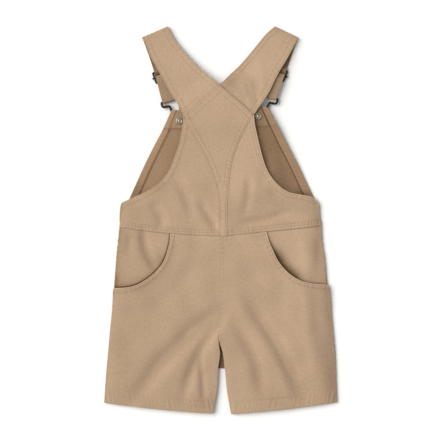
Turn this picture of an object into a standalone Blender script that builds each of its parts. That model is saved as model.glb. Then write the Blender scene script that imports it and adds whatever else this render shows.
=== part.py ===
"""Child's canvas shortalls laid flat, face down, modelled as cut and sewn pieces.

The back is uppermost. +Y points to the shoulders, +X to the wearer's right, and the
front panels lie on z = 0. Tables are in millimetres: each row is one section across a
piece, from its outer or left end to its inner or right end. Meshes are in metres.
"""

import math

import bmesh
import bpy
import numpy as np
from mathutils import Vector

MM = 0.001

# Cloth and seams
CANVAS = 1.2
STRAP_CLOTH = 1.4
STRAP_COLUMNS = 8
TURNED_HEM = 0.8
SEAM_GAP = 0.3
LAYER = CANVAS + SEAM_GAP

# Loft of the back over the front
LOFT = 2.0
EDGE_ROLL = 12.0
CROTCH_Y = -175.0
POCKET_COVER = 20.0
POCKET_FADE = 26.0

# Shoulder folds and front straps
FRONT_STRAP_Z = STRAP_CLOTH / 2
SHOULDER_Z = 3.1
TURN_RADIUS = (SHOULDER_Z - FRONT_STRAP_Z) / 2

# Hooks, sliders and buttons
HOOK_WIRE = 1.25
HOOK_Z = 3.95
LOOP_RADIUS = HOOK_WIRE + SEAM_GAP + STRAP_CLOTH / 2
SLIDER_WIRE = 1.0
SLIDER_BAR = 0.85
SLIDER_Z = 2.7
SLIDER_HALF_LENGTH = 8.0
SLIDER_HALF_WIDTH = 20.0
SLIDER_BAR_HALF = 22.0
SLIDER_STEP = SLIDER_WIRE + SEAM_GAP + STRAP_CLOTH / 2
HEAD_RADIUS = 8.0
HEAD_HEIGHT = 2.4
SHANK_RADIUS = 2.2
SHANK_TOP = 5.2
TACK_RADIUS = 5.0
TACK_HEIGHT = 1.0

# Height of the bib and of the back above their rest, by y: y, bib, back
LIFT = (
    (-300, 0.0, 0.0), (0, 0.0, 0.0), (25, 0.0, 1.2), (60, 1.2, 2.7), (100, 3.6, 5.1),
    (140, 5.5, 7.0), (190, 5.5, 7.0), (216, 5.5, 6.2), (234, 5.5, 4.7), (246, 5.5, 3.2),
    (260, 5.5, 1.7), (274, 5.5, 0.9), (300, 5.5, 0.9),
)

# Side seams and inseams, by y: y, left side, right side, left inseam, right inseam
SIDES = (
    (-292, -175.0, 175.5, -11.6, 16.0), (-222, -169.8, 172.8, -3.2, 6.6),
    (-175, -166.2, 169.8, -2.4, -2.1), (-97, -159.0, 161.0, 0.0, 0.0),
    (-64, -157.0, 157.5, 0.0, 0.0), (-12, -150.5, 151.0, 0.0, 0.0),
    (30, -145.0, 146.0, 0.0, 0.0),
)

# Seams between the crossed straps' centre piece and the back's sides, top to waist: x, y
SEAM_LEFT = (
    (-54.6, 153.5), (-39.5, 126.5), (-31.2, 112.0), (-18.6, 89.0), (-12.3, 73.0),
    (-7.0, 58.4), (-2.9, 42.6), (-1.0, 25.7), (-0.9, 18.0), (-0.7, -5.9), (-0.5, -23.8),
)
SEAM_RIGHT = (
    (48.5, 158.0), (36.3, 135.5), (25.8, 113.0), (17.8, 89.0), (15.0, 73.0),
    (13.2, 57.5), (11.8, 42.5), (10.5, 26.0), (10.2, 18.0), (9.9, -5.9), (9.8, -23.6),
)

# Armholes, then down the side seams to the waist, matched to the seams' rows: x, y
ARMHOLE_LEFT = (
    (-55.2, 154.5), (-56.4, 142.7), (-59.9, 120.8), (-65.6, 102.5), (-74.9, 78.3),
    (-85.0, 62.3), (-108.0, 44.5), (-137.9, 30.8), (-148.6, 24.5), (-151.0, 3.2),
    (-150.3, -10.4),
)
ARMHOLE_RIGHT = (
    (50.1, 157.7), (51.2, 146.0), (57.3, 117.5), (64.4, 95.0), (70.8, 76.2),
    (80.0, 59.9), (101.6, 42.5), (137.3, 34.7), (146.6, 25.5), (148.8, 8.0),
    (151.3, -8.2),
)

# Back straps, shoulder to armhole: outer x, outer y, inner x, inner y
STRAP_LEFT = (
    (-117.5, 274.0, -78.8, 290.6), (-110.3, 260.0, -70.4, 274.5),
    (-104.9, 245.4, -62.0, 262.2), (-98.7, 234.3, -51.3, 249.2),
    (-88.2, 215.6, -34.2, 230.7), (-78.2, 197.0, -15.5, 214.8),
    (-72.0, 185.7, -0.5, 201.5), (-65.7, 177.0, 16.0, 187.2),
    (-59.6, 165.8, 32.6, 173.7), (-54.6, 153.5, 48.5, 158.0),
)
STRAP_RIGHT = (
    (116.7, 274.0, 81.9, 290.6), (111.0, 262.2, 68.1, 278.3),
    (104.9, 250.7, 57.3, 265.2), (97.2, 237.0, 44.6, 249.5),
    (89.6, 224.7, 29.9, 232.4), (81.9, 210.2, 14.6, 217.8), (74.3, 194.0, 1.0, 204.5),
    (68.9, 185.0, -17.0, 191.0), (57.0, 167.9, -33.5, 176.0), (51.2, 158.6, -48.2, 158.6),
)

# Where the left strap climbs over the hidden edge of the right one: x, y
CROSSING = ((1.0, 204.5), (-47.7, 159.5))
CROSSING_RAMP = 14.0
CROSSING_MARGIN = 12.0

# Lower ends of the front straps: outer x, outer y, inner x, inner y
FRONT_END_LEFT = (-85.7, 173.9, -55.4, 183.5)
FRONT_END_RIGHT = (83.0, 179.2, 53.7, 188.4)
SLIDER_ALONG_LEFT = 63.5
SLIDER_ALONG_RIGHT = 61.0
BUTTON_LEFT = (-61.2, 148.4)
BUTTON_RIGHT = (57.0, 155.3)

# One side of a hook from its strap bar to the foot of its keyhole: across, along
HOOK_SIDE = (
    (16.9, -2.95), (18.0, -1.6), (18.0, 2.6), (16.8, 4.9), (9.4, 5.1),
    (7.6, 6.2), (7.0, 8.4), (7.0, 20.0), (5.6, 25.5), (3.8, 30.0),
)

# Back of each leg, waist to hem: outer x, outer y, inner x, inner y
LEG_LEFT = (
    (-73.5, -20.8, -1.1, -24.8), (-74.1, -28.5, -1.1, -33.0), (-76.8, -41.0, -1.1, -47.0),
    (-84.2, -60.0, -1.2, -66.0), (-96.8, -77.0, -1.4, -84.0), (-109.5, -87.5, -1.5, -100.0),
    (-126.3, -97.0, -1.7, -116.0), (-141.0, -100.5, -1.9, -132.0),
    (-160.0, -102.2, -2.2, -150.0), (-162.0, -131.6, -2.6, -175.0),
    (-165.0, -161.6, -0.5, -200.0), (-168.2, -197.6, -3.2, -222.0),
    (-171.5, -235.0, -5.3, -253.7), (-174.0, -273.6, -11.6, -289.5),
)
LEG_RIGHT = (
    (67.7, -18.0, -0.8, -24.8), (72.9, -30.6, -0.8, -33.0), (79.2, -45.3, -0.8, -47.0),
    (87.8, -60.0, -0.9, -66.0), (98.3, -72.8, -1.1, -84.0), (110.9, -83.3, -1.2, -100.0),
    (127.7, -91.2, -1.4, -116.0), (144.5, -95.3, -1.6, -132.0),
    (161.5, -97.0, -1.9, -150.0), (165.6, -127.0, -2.3, -175.0),
    (169.0, -166.0, 4.0, -200.0), (171.9, -200.6, 6.6, -222.0),
    (173.6, -239.6, 9.8, -253.7), (174.6, -272.6, 16.0, -290.6),
)
HEM_BOW = 1.6
WAIST_BOW = 2.6

# Front of each leg, waist to hem: outer x, outer y, inner x, inner y
FRONT_LEFT = (
    (-150.3, -13.1, 0.9, -13.1), (-153.4, -32.6, 0.9, -40.0), (-156.6, -64.0, 0.9, -80.0),
    (-159.6, -102.2, 0.9, -120.0), (-161.7, -131.6, 0.9, -155.0),
    (-164.7, -161.6, 0.9, -190.0), (-167.9, -197.6, 0.9, -221.4),
    (-168.2, -200.0, -3.4, -222.4), (-171.2, -235.0, -5.6, -253.7),
    (-173.7, -273.2, -11.9, -289.0),
)
FRONT_RIGHT = (
    (150.3, -13.1, 1.2, -13.1), (152.6, -32.6, 1.2, -40.0), (157.8, -74.6, 1.2, -80.0),
    (160.8, -97.0, 1.2, -120.0), (165.2, -127.0, 1.2, -155.0),
    (168.6, -166.0, 1.2, -190.0), (171.6, -200.0, 1.2, -221.4),
    (171.8, -202.0, 6.9, -222.4), (173.3, -239.6, 10.1, -253.7),
    (174.3, -272.2, 16.3, -290.1),
)

# Front bib, waist to top: left x, left y, right x, right y
BIB = (
    (-150.3, -12.8, 150.3, -12.8), (-150.5, 5.0, 148.5, 8.0), (-147.5, 24.0, 145.8, 25.0),
    (-136.8, 31.2, 140.8, 32.4), (-125.3, 56.6, 129.2, 56.6), (-113.9, 81.8, 117.0, 81.8),
    (-96.6, 116.0, 98.9, 116.0), (-86.3, 135.4, 86.3, 140.4), (-73.0, 164.8, 70.7, 169.0),
)
# Width of the bib's turned side hems at its upper six rows
BIB_HEM = (12.5, 12.2, 12.0, 11.6, 10.6, 8.4)
FIRST_HEM_ROW = 3

# Hip facings behind the pocket openings, waist to foot: outer x, outer y, inner x, inner y
FACING_LEFT = (
    (-150.4, -11.4, -63.0, -22.6), (-153.5, -32.6, -64.0, -35.0), (-155.7, -53.0, -68.0, -55.0),
    (-157.0, -75.0, -76.0, -75.0), (-158.0, -93.0, -90.0, -93.0),
    (-160.2, -106.0, -108.0, -106.0), (-160.8, -114.0, -125.0, -114.0),
)
FACING_RIGHT = (
    (151.2, -9.2, 57.0, -19.2), (152.7, -32.6, 61.0, -35.0), (156.0, -53.6, 67.0, -52.0),
    (158.0, -74.6, 75.0, -69.0), (158.7, -88.0, 87.0, -84.0), (161.3, -100.0, 103.0, -98.0),
    (162.3, -110.0, 122.0, -108.0),
)

# Largest folds of the back: start x, start y, end x, end y, bend, half width, height
FOLDS = (
    (-14.0, -132.0, -132.0, -250.0, -8.0, 10.0, -1.7),
    (-13.0, -158.0, -58.0, -240.0, 5.0, 7.0, -1.4),
    (-22.0, -152.0, -98.0, -240.0, -3.0, 9.0, 1.3),
    (16.0, -160.0, 54.0, -248.0, 9.0, 9.0, -1.4),
    (40.0, -136.0, 108.0, -244.0, 4.0, 9.0, -1.6),
    (30.0, -150.0, 82.0, -246.0, 6.0, 8.0, 1.1),
    (70.0, -122.0, 122.0, -214.0, 8.0, 14.0, 1.0),
    (151.0, -168.0, 160.0, -222.0, 3.0, 7.0, -1.1),
    (-70.0, 47.0, -50.0, 18.0, 3.0, 7.0, -0.9),
    (40.0, 54.0, 24.0, 12.0, 2.0, 8.0, -0.9),
    (-118.0, -26.0, -111.0, -66.0, 2.0, 7.0, -0.9),
    (82.0, -44.0, 98.0, -74.0, 3.0, 9.0, -0.9),
)

COLOURS = {
    "canvas": (0.46, 0.33, 0.22), "inside": (0.33, 0.23, 0.15),
    "iron": (0.03, 0.025, 0.02), "zinc": (0.55, 0.52, 0.48),
}


def clear_scene():
    """Remove every object, so that the file holds the garment alone."""
    for leftover in list(bpy.data.objects):
        bpy.data.objects.remove(leftover, do_unlink=True)


def ease(value):
    """Smooth step from 0 to 1."""
    value = min(1.0, max(0.0, value))
    return value * value * (3.0 - 2.0 * value)


def flow(rows, steps):
    """Pass a smooth curve without overshoot through every column of a table."""
    knots = np.array(rows, dtype=float)
    change = np.diff(knots, axis=0)
    slope = np.zeros_like(knots)
    slope[0], slope[-1] = change[0], change[-1]
    before, after = change[:-1], change[1:]
    same_way = before * after > 0
    total = np.where(same_way, before + after, 1.0)
    slope[1:-1] = np.where(same_way, 2 * before * after / total, 0.0)
    out = []
    for index in range(len(knots) - 1):
        for step in range(steps):
            t = step / steps
            out.append(
                (2 * t**3 - 3 * t**2 + 1) * knots[index]
                + (t**3 - 2 * t**2 + t) * slope[index]
                + (3 * t**2 - 2 * t**3) * knots[index + 1]
                + (t**3 - t**2) * slope[index + 1]
            )
    out.append(knots[-1])
    return [tuple(row) for row in out]


def column(table, y, index):
    """Read one column of a table whose first column is y."""
    rows = sorted(table)
    return float(np.interp(y, [row[0] for row in rows], [row[index] for row in rows]))


def bib_height(x, y):
    """Underside of the bib: flat at the waist, raised by its buttons at the top."""
    return column(LIFT, y, 1)


def fold_height(x, y):
    """Sum of the large folds at a point, each a soft ridge or trough along a bent line."""
    height = 0.0
    for start_x, start_y, end_x, end_y, bend, half_width, rise in FOLDS:
        run = Vector((end_x - start_x, end_y - start_y))
        offset = Vector((x - start_x, y - start_y))
        along = offset.dot(run) / run.length_squared
        if -0.25 < along < 1.25:
            across = (run.x * offset.y - run.y * offset.x) / run.length
            across -= bend * math.sin(math.pi * along)
            fade = ease((along + 0.25) / 0.4) * ease((1.25 - along) / 0.4)
            height += rise * fade * math.exp(-((across / half_width) ** 2))
    return height


def crossing_height(x, y):
    """Rise of the top strap and its neighbours over the strap beneath."""
    top, foot = Vector(CROSSING[0]), Vector(CROSSING[1])
    run = (foot - top).normalized()
    offset = Vector((x, y)) - top
    beyond = run.x * offset.y - run.y * offset.x
    ramp = ease((beyond + CROSSING_RAMP + CROSSING_MARGIN) / CROSSING_RAMP)
    return (STRAP_CLOTH + SEAM_GAP) * ramp * ease((y - 144.0) / 9.0)


def base_height(x, y):
    """Underside of the back layer: over the front, rolled down at sides and inseams."""
    side = min(x - column(SIDES, y, 1), column(SIDES, y, 2) - x)
    roll = 1.0 - math.exp(-max(side, 0.0) / EDGE_ROLL)
    if y < 0:
        inner = column(SIDES, y, 3) - x if x < column(SIDES, y, 3) else x - column(SIDES, y, 4)
        below = ease((CROTCH_Y - y) / 30.0)
        roll *= 1.0 - below * math.exp(-max(inner, 0.0) / EDGE_ROLL)
    calm = 1.0 - 0.75 * ease((y - 20.0) / 60.0)
    swell = LOFT * roll * calm + fold_height(x, y) * roll
    return LAYER + column(LIFT, y, 2) + max(swell, 0.0)


def back_height(x, y):
    """Underside of the back's bodice and of the left strap."""
    return base_height(x, y) + crossing_height(x, y)


def scoop_distance(x, y, rows):
    """Distance to a pocket opening, given the leg's rows along it."""
    nearest = 1000.0
    for first, second in zip(rows[:-1], rows[1:]):
        start = Vector(first[:2])
        run = Vector(second[:2]) - start
        along = min(1.0, max(0.0, (Vector((x, y)) - start).dot(run) / run.length_squared))
        nearest = min(nearest, (Vector((x, y)) - start - along * run).length)
    return nearest


def leg_height(x, y):
    """Underside of the back of a leg, one layer higher where it covers a hip facing."""
    rows = LEG_LEFT[:9] if x < 1.0 else LEG_RIGHT[:9]
    cover = 1.0 - ease((scoop_distance(x, y, rows) - POCKET_COVER) / POCKET_FADE)
    return base_height(x, y) + LAYER * cover


def floor_height(x, y):
    """Underside of what lies on the surface."""
    return 0.0


def material(name, colour, roughness, metallic=0.0):
    """Make one Principled finish."""
    made = bpy.data.materials.new(name)
    made.use_nodes = True
    shader = made.node_tree.nodes["Principled BSDF"]
    shader.inputs["Base Color"].default_value = (*colour, 1.0)
    shader.inputs["Roughness"].default_value = roughness
    shader.inputs["Metallic"].default_value = metallic
    return made


def add_object(name, mesh, finish, garment):
    """Put a mesh in the garment's collection with a finish of its own."""
    made = bpy.data.objects.new(name, mesh)
    mesh.materials.append(finish)
    garment.objects.link(made)
    return made


def grid_mesh(name, stations, columns, place):
    """Make an open grid and move each of its points to place(station, across)."""
    shape = bmesh.new()
    bmesh.ops.create_grid(shape, x_segments=columns, y_segments=len(stations) - 1, size=0.5)
    for vertex in shape.verts:
        station = round((vertex.co.y + 0.5) * (len(stations) - 1))
        vertex.co = Vector(place(stations[station], vertex.co.x + 0.5)) * MM
    mesh = bpy.data.meshes.new(name)
    shape.to_mesh(mesh)
    shape.free()
    return mesh


def panel(name, rows, height, wall, finish, garment, columns=10, steps=2, bow=0.0):
    """Sew up one flat piece: sections across it, its underside at height(x, y)."""
    stations = [(index, row) for index, row in enumerate(flow(rows, steps))]
    last = stations[-1][0]

    def place(station, across):
        index, (start_x, start_y, end_x, end_y) = station
        x = start_x + (end_x - start_x) * across
        y = start_y + (end_y - start_y) * across
        y -= bow * (index / last) ** 4 * math.sin(math.pi * across)
        return x, y, height(x, y)

    mesh = grid_mesh(name, stations, columns, place)
    shape = bmesh.new()
    shape.from_mesh(mesh)
    raised = bmesh.ops.extrude_face_region(shape, geom=shape.faces[:])["geom"]
    lifted = [item for item in raised if isinstance(item, bmesh.types.BMVert)]
    bmesh.ops.translate(shape, verts=lifted, vec=(0.0, 0.0, wall * MM))
    bmesh.ops.recalc_face_normals(shape, faces=shape.faces[:])
    shape.to_mesh(mesh)
    shape.free()
    return add_object(name, mesh, finish, garment)


def front_run(length, slider):
    """Front strap's centre line, loose end first, as rows of along and height."""
    bar = length - LOOP_RADIUS - STRAP_CLOTH / 2
    low, high = FRONT_STRAP_Z, SLIDER_Z + SLIDER_STEP
    over = high + STRAP_CLOTH + SEAM_GAP
    rows = []
    for degrees in (140, 115, 90):
        turn = math.radians(degrees)
        rows.append((slider + SLIDER_STEP * math.cos(turn), SLIDER_Z + SLIDER_STEP * math.sin(turn)))
    rows.append((slider + 4.0, (high + over) / 2))
    rows.append((slider + SLIDER_HALF_LENGTH, over))
    rows.append((slider + 14.0, over))
    rows.append((bar - 8.0, HOOK_Z + LOOP_RADIUS))
    for degrees in range(90, -91, -30):
        turn = math.radians(degrees)
        rows.append((bar + LOOP_RADIUS * math.cos(turn), HOOK_Z + LOOP_RADIUS * math.sin(turn)))
    rows.append((bar - 6.0, 1.4))
    rows.append((slider + 20.0, low))
    for step in range(8, -9, -1):
        along = SLIDER_HALF_LENGTH * step / 4
        wave = (1.0 - math.cos(math.pi * along / SLIDER_HALF_LENGTH)) / 2
        rows.append((slider + along, low + (high - low) * wave))
    for share in (0.8, 0.55, 0.3, 0.1):
        rows.append(((slider - 2 * SLIDER_HALF_LENGTH) * share, low))
    return rows


def shoulder(back_rows):
    """Inner line of a shoulder fold: its two ends and the way that it faces."""
    outer, inner = Vector(back_rows[0][:2]), Vector(back_rows[0][2:])
    crease = (inner - outer).normalized()
    outward = Vector((-crease.y, crease.x))
    if outward.y < 0:
        outward = -outward
    setback = outward * (TURN_RADIUS + STRAP_CLOTH / 2)
    return outer - setback, inner - setback, outward


def strap(name, back_rows, front_end, slider_along, height, finish, garment, kite=()):
    """Sew one strap: hook loop, front run, shoulder fold, back run and centre piece."""
    outer, inner, outward = shoulder(back_rows)
    end_outer, end_inner = Vector(front_end[:2]), Vector(front_end[2:])
    length = ((end_outer + end_inner) / 2 - (outer + inner) / 2).length
    stations = []
    for along, z in front_run(length, slider_along):
        share = along / length
        stations.append((outer.lerp(end_outer, share), inner.lerp(end_inner, share), z))
    for degrees in range(0, 181, 30):
        turn = math.radians(degrees)
        reach = outward * (TURN_RADIUS * math.sin(turn))
        z = (SHOULDER_Z + FRONT_STRAP_Z) / 2 - TURN_RADIUS * math.cos(turn)
        stations.append((outer + reach, inner + reach, z))
    spans = [flow(back_rows, 2)[1:]] + ([flow(kite, 2)[1:]] if kite else [])
    for row in [row for span in spans for row in span]:
        stations.append((Vector(row[:2]), Vector(row[2:]), None))

    def place(station, across):
        start, end, z = station
        spot = start.lerp(end, across)
        if z is None:
            z = height(spot.x, spot.y) + STRAP_CLOTH / 2
        return spot.x, spot.y, z

    mesh = grid_mesh(name, stations, STRAP_COLUMNS, place)
    made = add_object(name, mesh, finish, garment)
    wall = made.modifiers.new("wall", "SOLIDIFY")
    wall.thickness = STRAP_CLOTH * MM
    wall.offset = 0.0
    return made


def strap_station(back_rows, front_end, distance):
    """Middle of the front strap at a distance from its fold, and its ways across and along."""
    outer, inner, _ = shoulder(back_rows)
    end_outer, end_inner = Vector(front_end[:2]), Vector(front_end[2:])
    length = ((end_outer + end_inner) / 2 - (outer + inner) / 2).length
    start = outer.lerp(end_outer, distance / length)
    end = inner.lerp(end_inner, distance / length)
    across = (end - start).normalized()
    along = Vector((across.y, -across.x))
    if along.y > 0:
        along = -along
    return (start + end) / 2, across, along


def wire_mesh(name, points, radius):
    """Bend a round wire into a closed loop and return it as a welded mesh."""
    curve = bpy.data.curves.new(name, "CURVE")
    curve.dimensions = "3D"
    curve.bevel_depth = radius * MM
    curve.bevel_resolution = 2
    spline = curve.splines.new("POLY")
    spline.points.add(len(points) - 1)
    for spot, point in zip(spline.points, points):
        spot.co = (*(Vector(point) * MM), 1.0)
    spline.use_cyclic_u = True
    bent = bpy.data.objects.new(name, curve)
    bpy.context.scene.collection.objects.link(bent)
    bpy.context.view_layer.update()
    mesh = bpy.data.meshes.new_from_object(bent.evaluated_get(bpy.context.evaluated_depsgraph_get()))
    bpy.data.objects.remove(bent, do_unlink=True)
    return mesh


def hook(name, front_end, button, finish, garment):
    """Bend the wire hook: bar in the strap's loop, shoulders, keyhole round the shank."""
    outer, inner = Vector(front_end[:2]), Vector(front_end[2:])
    end = (outer + inner) / 2
    across = (inner - outer).normalized()
    along = Vector((-across.y, across.x))
    if along.y > 0:
        along = -along
    reach = Vector(button) - end
    foot, drift = reach.dot(along), reach.dot(across)
    arc = []
    for degrees in range(0, 181, 30):
        turn = math.radians(degrees)
        arc.append((HOOK_SIDE[-1][0] * math.cos(turn), foot + HOOK_SIDE[-1][0] * math.sin(turn)))
    loop = list(HOOK_SIDE) + arc + [(-w, s) for w, s in reversed(HOOK_SIDE)]
    points = []
    for w, s in loop:
        aside = w + drift * min(1.0, max(0.0, s) / foot)
        points.append((*(end + across * aside + along * s), HOOK_Z))
    return add_object(name, wire_mesh(name, points, HOOK_WIRE), finish, garment)


def slider(name, back_rows, front_end, distance, finish, garment):
    """Bend the slider's frame and weld the cross bar that carries the strap's end."""
    centre, across, along = strap_station(back_rows, front_end, distance)
    corner = 2.0
    points = []
    for quarter in range(4):
        side_w = 1 if quarter in (0, 3) else -1
        side_s = 1 if quarter in (0, 1) else -1
        for degrees in (0, 30, 60, 90):
            turn = math.radians(degrees + 90 * quarter)
            w = side_w * (SLIDER_HALF_WIDTH - corner) + corner * math.cos(turn)
            s = side_s * (SLIDER_HALF_LENGTH - corner) + corner * math.sin(turn)
            points.append((*(centre + across * w + along * s), SLIDER_Z))
    made = add_object(name, wire_mesh(name, points, SLIDER_WIRE), finish, garment)
    tips = [(*(centre + across * w), SLIDER_Z) for w in (-SLIDER_BAR_HALF, SLIDER_BAR_HALF)]
    bar_mesh = bpy.data.meshes.new(name + "_bar")
    shape = bmesh.new()
    bmesh.ops.create_cone(shape, cap_ends=True, segments=10, radius1=SLIDER_BAR * MM,
                          radius2=SLIDER_BAR * MM, depth=2 * SLIDER_BAR_HALF * MM)
    turn = (Vector(tips[1]) - Vector(tips[0])).to_track_quat("Z", "Y").to_matrix().to_4x4()
    bmesh.ops.transform(shape, matrix=turn, verts=shape.verts)
    bmesh.ops.translate(shape, verts=shape.verts, vec=Vector((*centre, SLIDER_Z)) * MM)
    shape.to_mesh(bar_mesh)
    shape.free()
    bar = bpy.data.objects.new(name + "_bar", bar_mesh)
    bpy.data.collections["Cutters"].objects.link(bar)
    bar.hide_render = True
    bar.display_type = "WIRE"
    weld = made.modifiers.new("bar", "BOOLEAN")
    weld.operation = "UNION"
    weld.object = bar
    return made


def disc_stack(name, centre, levels, finish, garment, segments=20):
    """Turn a button part: levels are rows of bottom, top and radius about one axis."""
    shape = bmesh.new()
    rings = []
    for bottom, top, radius in levels:
        for z in (bottom, top):
            made = bmesh.ops.create_circle(shape, segments=segments, radius=radius * MM)["verts"]
            bmesh.ops.translate(shape, verts=made, vec=(centre[0] * MM, centre[1] * MM, z * MM))
            rings.append(made)
    for low, high in zip(rings[:-1], rings[1:]):
        edges = [edge for edge in shape.edges if set(edge.verts) <= set(low)]
        edges += [edge for edge in shape.edges if set(edge.verts) <= set(high)]
        bmesh.ops.bridge_loops(shape, edges=edges)
    bmesh.ops.contextual_create(shape, geom=rings[0])
    bmesh.ops.contextual_create(shape, geom=rings[-1])
    bmesh.ops.recalc_face_normals(shape, faces=shape.faces[:])
    mesh = bpy.data.meshes.new(name)
    shape.to_mesh(mesh)
    shape.free()
    return add_object(name, mesh, finish, garment)


def shifted(points, gap):
    """Move an edge sideways by a seam's gap."""
    return [(x + gap, y) for x, y in points]


def beside(outer, inner):
    """Join two matched edges into rows of sections."""
    return [(*first, *second) for first, second in zip(outer, inner)]


def build_front(garment, cloth, inside):
    """Front legs, bib, its turned hems and its top facing."""
    panel("front_leg_left", FRONT_LEFT, floor_height, CANVAS, cloth(), garment, 4, 1)
    panel("front_leg_right", FRONT_RIGHT, floor_height, CANVAS, cloth(), garment, 4, 1)
    panel("front_bib", BIB, bib_height, CANVAS, inside(), garment, 10, 2)
    hem_rows = BIB[FIRST_HEM_ROW:]
    left = [(x, y, x + width, y) for (x, y, _, _), width in zip(hem_rows, BIB_HEM)]
    right = [(x, y, x - width, y) for (_, _, x, y), width in zip(hem_rows, BIB_HEM)]

    def on_bib(x, y):
        return bib_height(x, y) + LAYER

    panel("bib_hem_left", left, on_bib, TURNED_HEM, inside(), garment, 2, 2)
    panel("bib_hem_right", right, on_bib, TURNED_HEM, inside(), garment, 2, 2)
    facing = [
        (first[2] + SEAM_GAP, first[3], second[2] - SEAM_GAP, second[3])
        for first, second in zip(left[-2:], right[-2:])
    ]
    panel("bib_facing", facing, on_bib, TURNED_HEM, inside(), garment, 6, 3)


def build_back(garment, cloth):
    """Bodice sides, legs and the hip facings behind the pocket openings."""
    left = beside(ARMHOLE_LEFT, shifted(SEAM_LEFT, -SEAM_GAP))
    right = beside(ARMHOLE_RIGHT, shifted(SEAM_RIGHT, SEAM_GAP))
    panel("back_side_left", left, back_height, CANVAS, cloth(), garment, 10, 2, WAIST_BOW)
    panel("back_side_right", right, back_height, CANVAS, cloth(), garment, 10, 2)
    panel("hip_facing_left", FACING_LEFT, base_height, CANVAS, cloth(), garment, 8, 2)
    panel("hip_facing_right", FACING_RIGHT, base_height, CANVAS, cloth(), garment, 8, 2)
    panel("back_leg_left", LEG_LEFT, leg_height, CANVAS, cloth(), garment, 18, 2, HEM_BOW)
    panel("back_leg_right", LEG_RIGHT, leg_height, CANVAS, cloth(), garment, 18, 2, HEM_BOW)


def build_straps(garment, cloth, iron, zinc):
    """Straps, with the hook, slider and button at the front end of each."""
    kite = beside(SEAM_LEFT, SEAM_RIGHT)
    strap("strap_left", STRAP_LEFT, FRONT_END_LEFT, SLIDER_ALONG_LEFT, back_height, cloth(),
          garment, kite)
    strap("strap_right", STRAP_RIGHT, FRONT_END_RIGHT, SLIDER_ALONG_RIGHT, base_height, cloth(),
          garment)
    sides = (
        ("left", STRAP_LEFT, FRONT_END_LEFT, SLIDER_ALONG_LEFT, BUTTON_LEFT),
        ("right", STRAP_RIGHT, FRONT_END_RIGHT, SLIDER_ALONG_RIGHT, BUTTON_RIGHT),
    )
    for side, rows, end, distance, button in sides:
        hook("hook_" + side, end, button, iron(), garment)
        slider("slider_" + side, rows, end, distance, iron(), garment)
        head = ((0.0, HEAD_HEIGHT, HEAD_RADIUS), (HEAD_HEIGHT, SHANK_TOP, SHANK_RADIUS))
        disc_stack("button_" + side, button, head, zinc(), garment)
        seat = bib_height(*button) + LAYER + TURNED_HEM + SEAM_GAP
        tack = ((seat, seat + TACK_HEIGHT, TACK_RADIUS),)
        disc_stack("button_back_" + side, button, tack, zinc(), garment, 16)


def main():
    """Build the whole garment."""
    clear_scene()
    garment = bpy.data.collections.new("Shortalls")
    cutters = bpy.data.collections.new("Cutters")
    bpy.context.scene.collection.children.link(garment)
    bpy.context.scene.collection.children.link(cutters)
    build_front(
        garment,
        lambda: material("canvas_front", COLOURS["canvas"], 0.9),
        lambda: material("canvas_inside", COLOURS["inside"], 0.9),
    )
    build_back(garment, lambda: material("canvas_back", COLOURS["canvas"], 0.9))
    build_straps(
        garment,
        lambda: material("canvas_strap", COLOURS["canvas"], 0.9),
        lambda: material("black_iron", COLOURS["iron"], 0.45, 0.9),
        lambda: material("bright_zinc", COLOURS["zinc"], 0.35, 1.0),
    )


main()
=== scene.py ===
"""Dresses a child's canvas shortalls that lie flat, with the back uppermost.

Plan positions and sizes in the tables are in millimetres, in the frame's own axes: +Y to the
shoulders, +X to the wearer's right, z = 0 on the surface. Meshes are made in metres.
"""

import logging
import math
from dataclasses import dataclass, field
from enum import Enum
from typing import Callable, Iterable, Sequence

import bmesh
import bpy
import numpy as np
from mathutils import Matrix, Vector


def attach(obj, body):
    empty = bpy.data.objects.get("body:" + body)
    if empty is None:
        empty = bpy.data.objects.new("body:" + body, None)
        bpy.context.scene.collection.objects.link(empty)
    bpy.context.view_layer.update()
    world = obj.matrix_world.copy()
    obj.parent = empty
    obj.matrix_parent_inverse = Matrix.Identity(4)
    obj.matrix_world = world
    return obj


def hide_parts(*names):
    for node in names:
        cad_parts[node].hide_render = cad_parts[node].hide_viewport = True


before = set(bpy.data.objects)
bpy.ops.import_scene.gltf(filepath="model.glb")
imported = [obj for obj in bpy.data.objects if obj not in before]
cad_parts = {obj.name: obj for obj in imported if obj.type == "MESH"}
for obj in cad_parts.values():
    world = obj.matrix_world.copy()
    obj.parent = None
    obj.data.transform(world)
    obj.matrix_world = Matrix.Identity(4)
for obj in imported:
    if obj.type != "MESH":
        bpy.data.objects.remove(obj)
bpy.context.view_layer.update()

log = logging.getLogger("shortalls")

Array = np.ndarray
Row = tuple[float, ...]
Table = Sequence[Row]
Height = Callable[[Array, Array], Array]

MM = 0.001
ROOT = "root"

# Thicknesses of the cloth, the gap between two layers, and the rounding of cut edges
CANVAS = 1.2
STRAP_CLOTH = 1.4
TURNED_HEM = 0.8
SEAM_GAP = 0.3
LAYER = CANVAS + SEAM_GAP
CLOTH_EDGE = 0.42

# How far one edge stands over another: in all, at the waist, at the hips, at the centre piece
LAP_RISE = CANVAS + 0.15
WAIST_RISE = 0.25
FACING_RISE = 0.45
CENTRE_LAP_RISE = 0.12

# Lightness of plain cloth, and how strongly a seam's form shows in it as painted light and shade
PLAIN_TONE = 0.5
TONE_DEPTH = 0.2


class Side(Enum):
    """A side of the garment, with the sign of x on it."""

    LEFT = -1
    RIGHT = 1

    @property
    def word(self) -> str:
        """The side's name in piece names."""
        return self.name.lower()


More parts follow.
